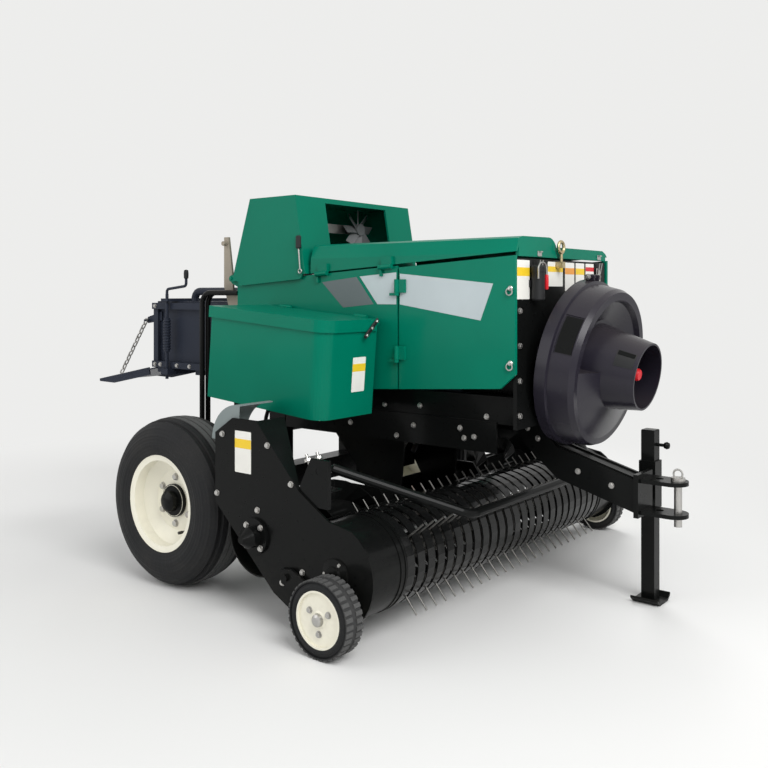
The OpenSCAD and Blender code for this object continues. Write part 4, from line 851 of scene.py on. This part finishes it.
class BALER_OT_shield(bpy.types.Operator):
    """Clamp and panels on the flywheel shield, and a cap on the input stub"""

    bl_idname = "baler.shield"
    bl_label = "Shield fittings"

    def execute(self, context):
        axis = ShieldAxis()
        self.clamp(axis)
        with new_piece("stub_cap", "red_plastic", "drive", "shield_plastic") as bm:
            add_turned(bm, facing(axis.point(0, 0, STUB_CAP_FORWARD), axis.along), STUB_CAP)
        for panel in SHIELD_PANELS:
            self.panel(axis, *panel)
        return {"FINISHED"}

    def clamp(self, axis):
        """Two ears on top of the shield with a bolt through them."""
        with new_piece("shield_clamp", "shield_plastic", "chassis") as bm:
            for turn in (-CLAMP_TURN, CLAMP_TURN):
                foot = axis.point(turn, CLAMP_RADIUS, CLAMP_FORWARD)
                add_block(bm, lying(foot, axis.along, axis.outward(turn)), CLAMP_EAR, bevel=0.003)

        def on_bolt(turn):
            return axis.point(turn, CLAMP_BOLT_RADIUS, CLAMP_FORWARD)

        with new_piece("shield_clamp_bolt", "zinc_steel", "chassis") as bm:
            add_rod(bm, on_bolt(-CLAMP_BOLT_END), on_bolt(CLAMP_BOLT_END), CLAMP_BOLT)
            for turn in (-CLAMP_HEAD_TURN, CLAMP_HEAD_TURN):
                add_bolt(bm, facing(on_bolt(turn), on_bolt(turn * 2) - on_bolt(turn)), fittings().bolt)

    def panel(self, axis, name, finish, turns, back, front):
        """A thin curved panel between two turns."""
        start, end = (math.radians(turn) for turn in turns)
        rise = Vector((2 * fittings().film, 0))
        back, front = Vector(back), Vector(front)
        with new_piece(name, finish, "chassis", "shield_plastic") as bm:
            corners = [axis.point(start, *corner) for corner in (back, back + rise, front + rise, front)]
            face = bm.faces.new([bm.verts.new(corner) for corner in corners])
            bmesh.ops.spin(bm, geom=[face, *face.verts, *face.edges], cent=axis.hub, axis=axis.along,
                           angle=end - start, steps=12)


# Ends of the pickup: places as (forward, height), and distances out from the side plate.
PLATE_BOLTS = ((0.442, 0.732), (0.706, 0.712), (0.835, 0.576), (0.41, 0.485), (0.65, 0.449), (0.896, 0.249),
               (0.79, 0.19))
BEARING_PLACE = (0.64, 0.345)
BEARING_OUT = 0.013
BEARING_CIRCLE = 0.057
BEARING_BOLTS = 4
REEL_COVER = ((0.0295, 0.0), (0.062, 0.0), (0.06, 0.009), (0.036, 0.014), (0.034, 0.024), (0.0, 0.026))
REEL_COVER_OUT = 0.009
REEL_COVER_CIRCLE = 0.048
REEL_COVER_BOLTS = 3
# Adjusters: distances in from the side plate, ends as (forward, height), and nuts as shares of the rod.
ADJUSTERS_IN = (0.045, 0.105)
ADJUSTER_FOOT = (0.935, 0.555)
ADJUSTER_HEAD = (0.872, 0.69)
ADJUSTER_ROD = 0.006
ADJUSTER_NUTS = ((0.16, "bolt"), (0.3, "bolt"), (0.8, "big_bolt"))
SHELF = (0.13, 0.13, 0.008)
SHELF_PLACE = (0.91, 0.548)
SHELF_IN = 0.075


class BALER_OT_pickup(bpy.types.Operator):
    """Bolts, adjusters and a reel bearing on each end of the pickup"""

    bl_idname = "baler.pickup"
    bl_label = "Pickup fittings"

    def execute(self, context):
        for side, sign in SIDES.items():
            self.bearings(side, sign)
            self.adjusters(side, sign)
        return {"FINISHED"}

    def bearings(self, side, sign):
        """Bolts of the side plate and its bearing, and a bolted cover on the reel's end."""
        sizes = fittings()
        out = Y * sign
        bolts(f"pickup_bolts_{side}", "pickup", side_places(PLATE_BOLTS, PLATE_SIDE, sign), sizes.bolt)
        bearing = beside(BEARING_PLACE, sign * (PLATE_SIDE + BEARING_OUT))
        studs = circle_places(bearing, out, BEARING_CIRCLE, BEARING_BOLTS)
        bolts(f"bearing_bolts_{side}", "pickup", studs, sizes.bolt)
        reel = middle("tine_reel")
        cover = Vector((reel.x, sign * PLATE_SIDE, reel.z))
        with new_piece(f"reel_bearing_{side}", "black_paint", "pickup") as bm:
            add_turned(bm, facing(cover, out), REEL_COVER)
        studs = circle_places(cover + out * REEL_COVER_OUT, out, REEL_COVER_CIRCLE, REEL_COVER_BOLTS)
        bolts(f"reel_bearing_bolts_{side}", "pickup", studs, sizes.small_bolt)

    def adjusters(self, side, sign):
        """Two threaded rods with nuts, on a shelf inside the side plate."""
        with new_piece(f"adjuster_bolts_{side}", "zinc_steel", "pickup") as bm:
            for inner in ADJUSTERS_IN:
                y = sign * (PLATE_SIDE - inner)
                foot = beside(ADJUSTER_FOOT, y)
                head = beside(ADJUSTER_HEAD, y)
                add_rod(bm, foot, head, ADJUSTER_ROD)
                for share, size in ADJUSTER_NUTS:
                    add_bolt(bm, facing(foot.lerp(head, share), head - foot), getattr(fittings(), size))
        with new_piece(f"adjuster_shelf_{side}", "black_paint", "pickup") as bm:
            shelf = lying(beside(SHELF_PLACE, sign * (PLATE_SIDE - SHELF_IN)), X, Z)
            add_block(bm, shelf, SHELF, bevel=0.002)


CHAMBER_LOW_ROW = [(forward, 0.897) for forward in (-1.03, -0.98, -0.83, -0.72, -0.6, -0.48, -0.36)]
CHAMBER_HIGH_ROW = [(forward, 1.235) for forward in (-1.03, -0.6)]
# Bolts on faces that look sideways: name, face, size, and places as (forward, height).
SIDE_BOLTS = (
    ("panel", BODY_SIDE, "small_bolt", ((-0.12, 0.9), (-0.12, 1.1), (0.4, 0.885), (0.6, 0.9))),
    ("skirt", SKIRT_SIDE, "bolt", ((1.119, 0.731), (1.14, 0.69), (1.19, 0.7), (0.775, 0.665), (0.87, 0.72),
                                   (0.5, 0.7), (0.3, 0.7))),
    ("rail", RAIL_SIDE, "bolt", ((1.248, 0.79), (0.7, 0.8), (0.9, 0.81), (0.2, 0.8), (-0.1, 0.8))),
    ("chamber", CHAMBER_SIDE, "bolt", CHAMBER_LOW_ROW + CHAMBER_HIGH_ROW),
    ("drawbar", DRAWBAR_SIDE, "bolt", ((1.31, 0.72), (1.36, 0.68), (1.55, 0.56), (1.7, 0.52))),
)
BULKHEAD_BOLTS_ACROSS = (-0.385, 0.385)
BULKHEAD_BOLTS_HEIGHTS = (0.82, 0.96, 1.1, 1.24)


class BALER_OT_body_bolts(bpy.types.Operator):
    """Rows of bolts on the side panels, skirts, rails, chamber, drawbar and bulkhead"""

    bl_idname = "baler.body_bolts"
    bl_label = "Body bolts"

    def execute(self, context):
        sizes = fittings()
        for side, sign in SIDES.items():
            for name, y, size, points in SIDE_BOLTS:
                places = side_places(points, y, sign)
                bolts(f"{name}_bolts_{side}", "chassis", places, getattr(sizes, size))
        front = [facing(at(BULKHEAD, y, z), X) for y in BULKHEAD_BOLTS_ACROSS for z in BULKHEAD_BOLTS_HEIGHTS]
        bolts("bulkhead_bolts", "chassis", front, sizes.bolt)
        return {"FINISHED"}


# The stand's cap plate and handle, the hitch pin's ring and the grips of the tension cranks.
STAND_CAP = (0.056, 0.056, 0.003)
HANDLE_DROP = 0.06
HANDLE_BAR = (0.0, 0.062, 0.007)
HANDLE_KNOB_OUT = 0.06
HANDLE_KNOB = ((0.0, 0.0), (0.012, 0.002), (0.016, 0.012), (0.012, 0.022), (0.0, 0.026))
PIN_RING_RISE = 0.014
PIN_RING = 0.018
PIN_RING_WIRE = 0.004
CRANK_FORWARD = -0.73
CRANK_ACROSS = 0.288
CRANK_HEIGHT = 1.39
CRANK_GRIP = ((0.0085, 0.0), (0.013, 0.004), (0.014, 0.03), (0.012, 0.048), (0.0, 0.052))
# The tube for papers, its clip on the bulkhead, and its bail with a sleeve.
TUBE_ACROSS = -0.288
TUBE_OUT = 0.03
TUBE_HEIGHT = 1.282
TUBE = ((0.0, 0.0), (0.023, 0.0), (0.027, 0.005), (0.027, 0.114), (0.029, 0.116), (0.029, 0.136),
        (0.025, 0.142), (0.0, 0.144))
CLIP = (0.05, 0.03, 0.006)
CLIP_HEIGHT = 1.35
BAIL_OUT = 0.02
BAIL_SIDE = 0.034
BAIL_SHORT_LEG = 1.37
BAIL_LONG_LEG = 1.33
BAIL_BEND = 1.41
BAIL_RISE = 0.026
BAIL_STEPS = 10
BAIL_WIRE = 0.0035
SLEEVE_HEIGHT = 1.325
SLEEVE = ((0.0, 0.0), (0.007, 0.002), (0.0085, 0.008), (0.0085, 0.056), (0.006, 0.062), (0.0038, 0.062))


class BALER_OT_fittings(bpy.types.Operator):
    """Paper tube on the bulkhead, stand handle, hitch pin ring and crank grips"""

    bl_idname = "baler.fittings"
    bl_label = "Other fittings"

    def execute(self, context):
        self.paper_tube()
        self.stand_handle()
        pin = middle("hitch_pin")
        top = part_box("hitch_pin")[1][2]
        with new_piece("hitch_pin_ring", "zinc_steel", "chassis") as bm:
            add_ring(bm, facing(Vector((pin.x, pin.y, top + PIN_RING_RISE)), Y), PIN_RING, PIN_RING_WIRE)
        with new_piece("crank_grips", "black_rubber", "chassis", "tyre_rubber") as bm:
            for sign in SIDES.values():
                grip = at(CRANK_FORWARD, sign * CRANK_ACROSS, CRANK_HEIGHT)
                add_turned(bm, facing(grip, Z), CRANK_GRIP, segments=18)
        return {"FINISHED"}

    def paper_tube(self):
        """A black tube for papers on the bulkhead, held by a wire bail with a red sleeve."""
        y = TUBE_ACROSS
        forward = BULKHEAD + TUBE_OUT
        with new_piece("paper_tube", "black_rubber", "chassis", "black_paint") as bm:
            add_turned(bm, facing(at(forward, y, TUBE_HEIGHT), Z), TUBE)
            add_block(bm, lying(at(BULKHEAD, y, CLIP_HEIGHT), Y, X), CLIP, bevel=0.0015)
        bow = forward + BAIL_OUT
        turns = [math.pi * i / BAIL_STEPS for i in range(BAIL_STEPS + 1)]
        arch = [at(bow, y - BAIL_SIDE * math.cos(turn), BAIL_BEND + BAIL_RISE * math.sin(turn))
                for turn in turns]
        short_leg = at(bow, y - BAIL_SIDE, BAIL_SHORT_LEG)
        long_leg = at(bow, y + BAIL_SIDE, BAIL_LONG_LEG)
        with new_piece("tube_bail", "zinc_steel", "chassis") as bm:
            add_sweep(bm, [short_leg, *arch, long_leg], BAIL_WIRE, segments=8)
        with new_piece("tube_bail_sleeve", "red_plastic", "chassis", "black_paint") as bm:
            add_turned(bm, facing(at(bow, y + BAIL_SIDE, SLEEVE_HEIGHT), Z), SLEEVE, segments=16)

    def stand_handle(self):
        """A cap plate on the stand's leg and a knob on a bar in front of it."""
        top = middle("stand_leg")
        top.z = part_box("stand_leg")[1][2]
        handle = top - Z * HANDLE_DROP
        with new_piece("stand_handle", "black_paint", "stand") as bm:
            add_block(bm, facing(top, Z), STAND_CAP, bevel=0.001)
            add_stem(bm, handle, X, HANDLE_BAR)
            add_turned(bm, facing(handle + X * HANDLE_KNOB_OUT, X), HANDLE_KNOB, segments=18)


FLOOR_SIZE = 30.0
FLOOR_DROP = 0.001
SENSOR_WIDTH = 36.0
LAMP_AIM = Vector((0, 0, 0.8))
# Lamps: name, the property of its power, size and place.
LAMPS = (
    ("key_lamp", "key", 3.4, (4.8, -2.4, 4.4)),
    ("fill_lamp", "fill", 4.0, (-2.4, -4.6, 2.6)),
    ("back_lamp", "rim", 3.0, (-1.6, 4.2, 4.4)),
)
# Lamps that shiny faces don't mirror.
UNMIRRORED = ("back_lamp",)


class BALER_OT_stage(bpy.types.Operator):
    """Pale floor and backdrop, soft lamps and the camera"""

    bl_idname = "baler.stage"
    bl_label = "Stage"

    def execute(self, context):
        scene = context.scene
        stage = scene.baler_stage
        scene.view_settings.view_transform = "Standard"
        self.floor(scene, stage)
        self.sky(scene, stage)
        for lamp in LAMPS:
            self.lamp(scene, stage, *lamp)
        self.camera(scene, stage)
        return {"FINISHED"}

    def floor(self, scene, stage):
        finish = Finish("floor", {"Specular IOR Level": 0.2})
        cloud = finish.noise(scale=0.6, detail=2.0)
        finish.feed("Base Color", finish.blend(cloud, rgb(stage.floor, 0.97), rgb(stage.floor, 1.02)))
        finish.feed("Roughness", 0.75 + cloud * 0.1)
        self.fade_out(finish, stage)
        bm = bmesh.new()
        bmesh.ops.create_grid(bm, x_segments=1, y_segments=1, size=FLOOR_SIZE,
                              matrix=Matrix.Translation(-Z * FLOOR_DROP))
        mesh = bpy.data.meshes.new("floor")
        bm.to_mesh(mesh)
        bm.free()
        mesh.materials.append(finish.material)
        floor = bpy.data.objects.new("floor", mesh)
        scene.collection.objects.link(floor)

    def fade_out(self, finish, stage):
        """Far from the object the floor takes the backdrop's tone, for the camera alone."""
        seen = finish.node("ShaderNodeLightPath", out="Is Camera Ray")
        away = finish.node("ShaderNodeVectorMath", {"operation": "LENGTH"}, {0: finish.place}, "Value")
        pale = finish.node("ShaderNodeEmission", {}, {"Color": rgb(stage.floor, stage.backdrop)})
        far = finish.fade(away, stage.fade_from, stage.fade_to) * seen
        mix = finish.node("ShaderNodeMixShader", {}, {0: far, 1: finish.surface, 2: pale})
        finish.tree.links.new(mix.socket, finish.output.inputs["Surface"])

    def sky(self, scene, stage):
        """Even light on the object, and a plain pale background behind it."""
        world = bpy.data.worlds.new("studio")
        sky = Nodes(world)
        camera, glossy, through = (sky.node("ShaderNodeLightPath", out=f"Is {kind} Ray")
                                   for kind in ("Camera", "Glossy", "Transmission"))
        shown = sky.math("MAXIMUM", sky.math("MAXIMUM", camera, glossy), through)
        light = sky.node("ShaderNodeBackground", {}, {"Strength": stage.sky, "Color": rgb((1, 1, 1))})
        behind = sky.node("ShaderNodeBackground", {}, {"Color": rgb(stage.floor, stage.backdrop)})
        mix = sky.node("ShaderNodeMixShader", {}, {0: shown, 1: light, 2: behind})
        sky.node("ShaderNodeOutputWorld", {}, {"Surface": mix})
        scene.world = world

    def lamp(self, scene, stage, name, power, size, place):
        light = bpy.data.lights.new(name, "AREA")
        light.energy = getattr(stage, power)
        light.size = size
        lamp = bpy.data.objects.new(name, light)
        lamp.location = place
        lamp.rotation_euler = (LAMP_AIM - Vector(place)).to_track_quat("-Z", "Y").to_euler()
        lamp.visible_glossy = name not in UNMIRRORED
        scene.collection.objects.link(lamp)

    def camera(self, scene, stage):
        camera = bpy.data.objects.new("camera", bpy.data.cameras.new("camera"))
        camera.data.sensor_width = SENSOR_WIDTH
        camera.data.lens = stage.lens
        camera.data.shift_y = stage.shift
        camera.location = at(stage.camera_x, -stage.camera_side, stage.camera_height)
        camera.rotation_euler = (math.pi / 2, 0, stage.turn)
        scene.collection.objects.link(camera)
        scene.camera = camera


class BALER_PT_finish(bpy.types.Panel):
    """Lists the steps that dress the baler"""

    bl_idname = "BALER_PT_finish"
    bl_label = "Square baler"
    bl_space_type = "VIEW_3D"
    bl_region_type = "UI"
    bl_category = "Baler"

    def draw(self, context):
        for holder in GROUPS:
            group = getattr(context.scene, holder)
            for name in group.__annotations__:
                self.layout.prop(group, name)
        for step in STEPS:
            self.layout.operator(step.bl_idname)


GROUPS = {"baler_colours": BalerColours, "baler_fittings": BalerFittings, "baler_stage": BalerStage}
STEPS = (BALER_OT_finishes, BALER_OT_wheels, BALER_OT_bands, BALER_OT_latches, BALER_OT_plates,
         BALER_OT_shield, BALER_OT_pickup, BALER_OT_body_bolts, BALER_OT_fittings, BALER_OT_stage)


def register():
    for name, group in GROUPS.items():
        bpy.utils.register_class(group)
        setattr(bpy.types.Scene, name, bpy.props.PointerProperty(type=group))
    for step in STEPS:
        bpy.utils.register_class(step)
    bpy.utils.register_class(BALER_PT_finish)


def unregister():
    bpy.utils.unregister_class(BALER_PT_finish)
    for step in reversed(STEPS):
        bpy.utils.unregister_class(step)
    for name, group in GROUPS.items():
        delattr(bpy.types.Scene, name)
        bpy.utils.unregister_class(group)


def main():
    register()
    for step in STEPS:
        family, name = step.bl_idname.split(".")
        getattr(getattr(bpy.ops, family), name)()


if __name__ == "__main__":
    main()
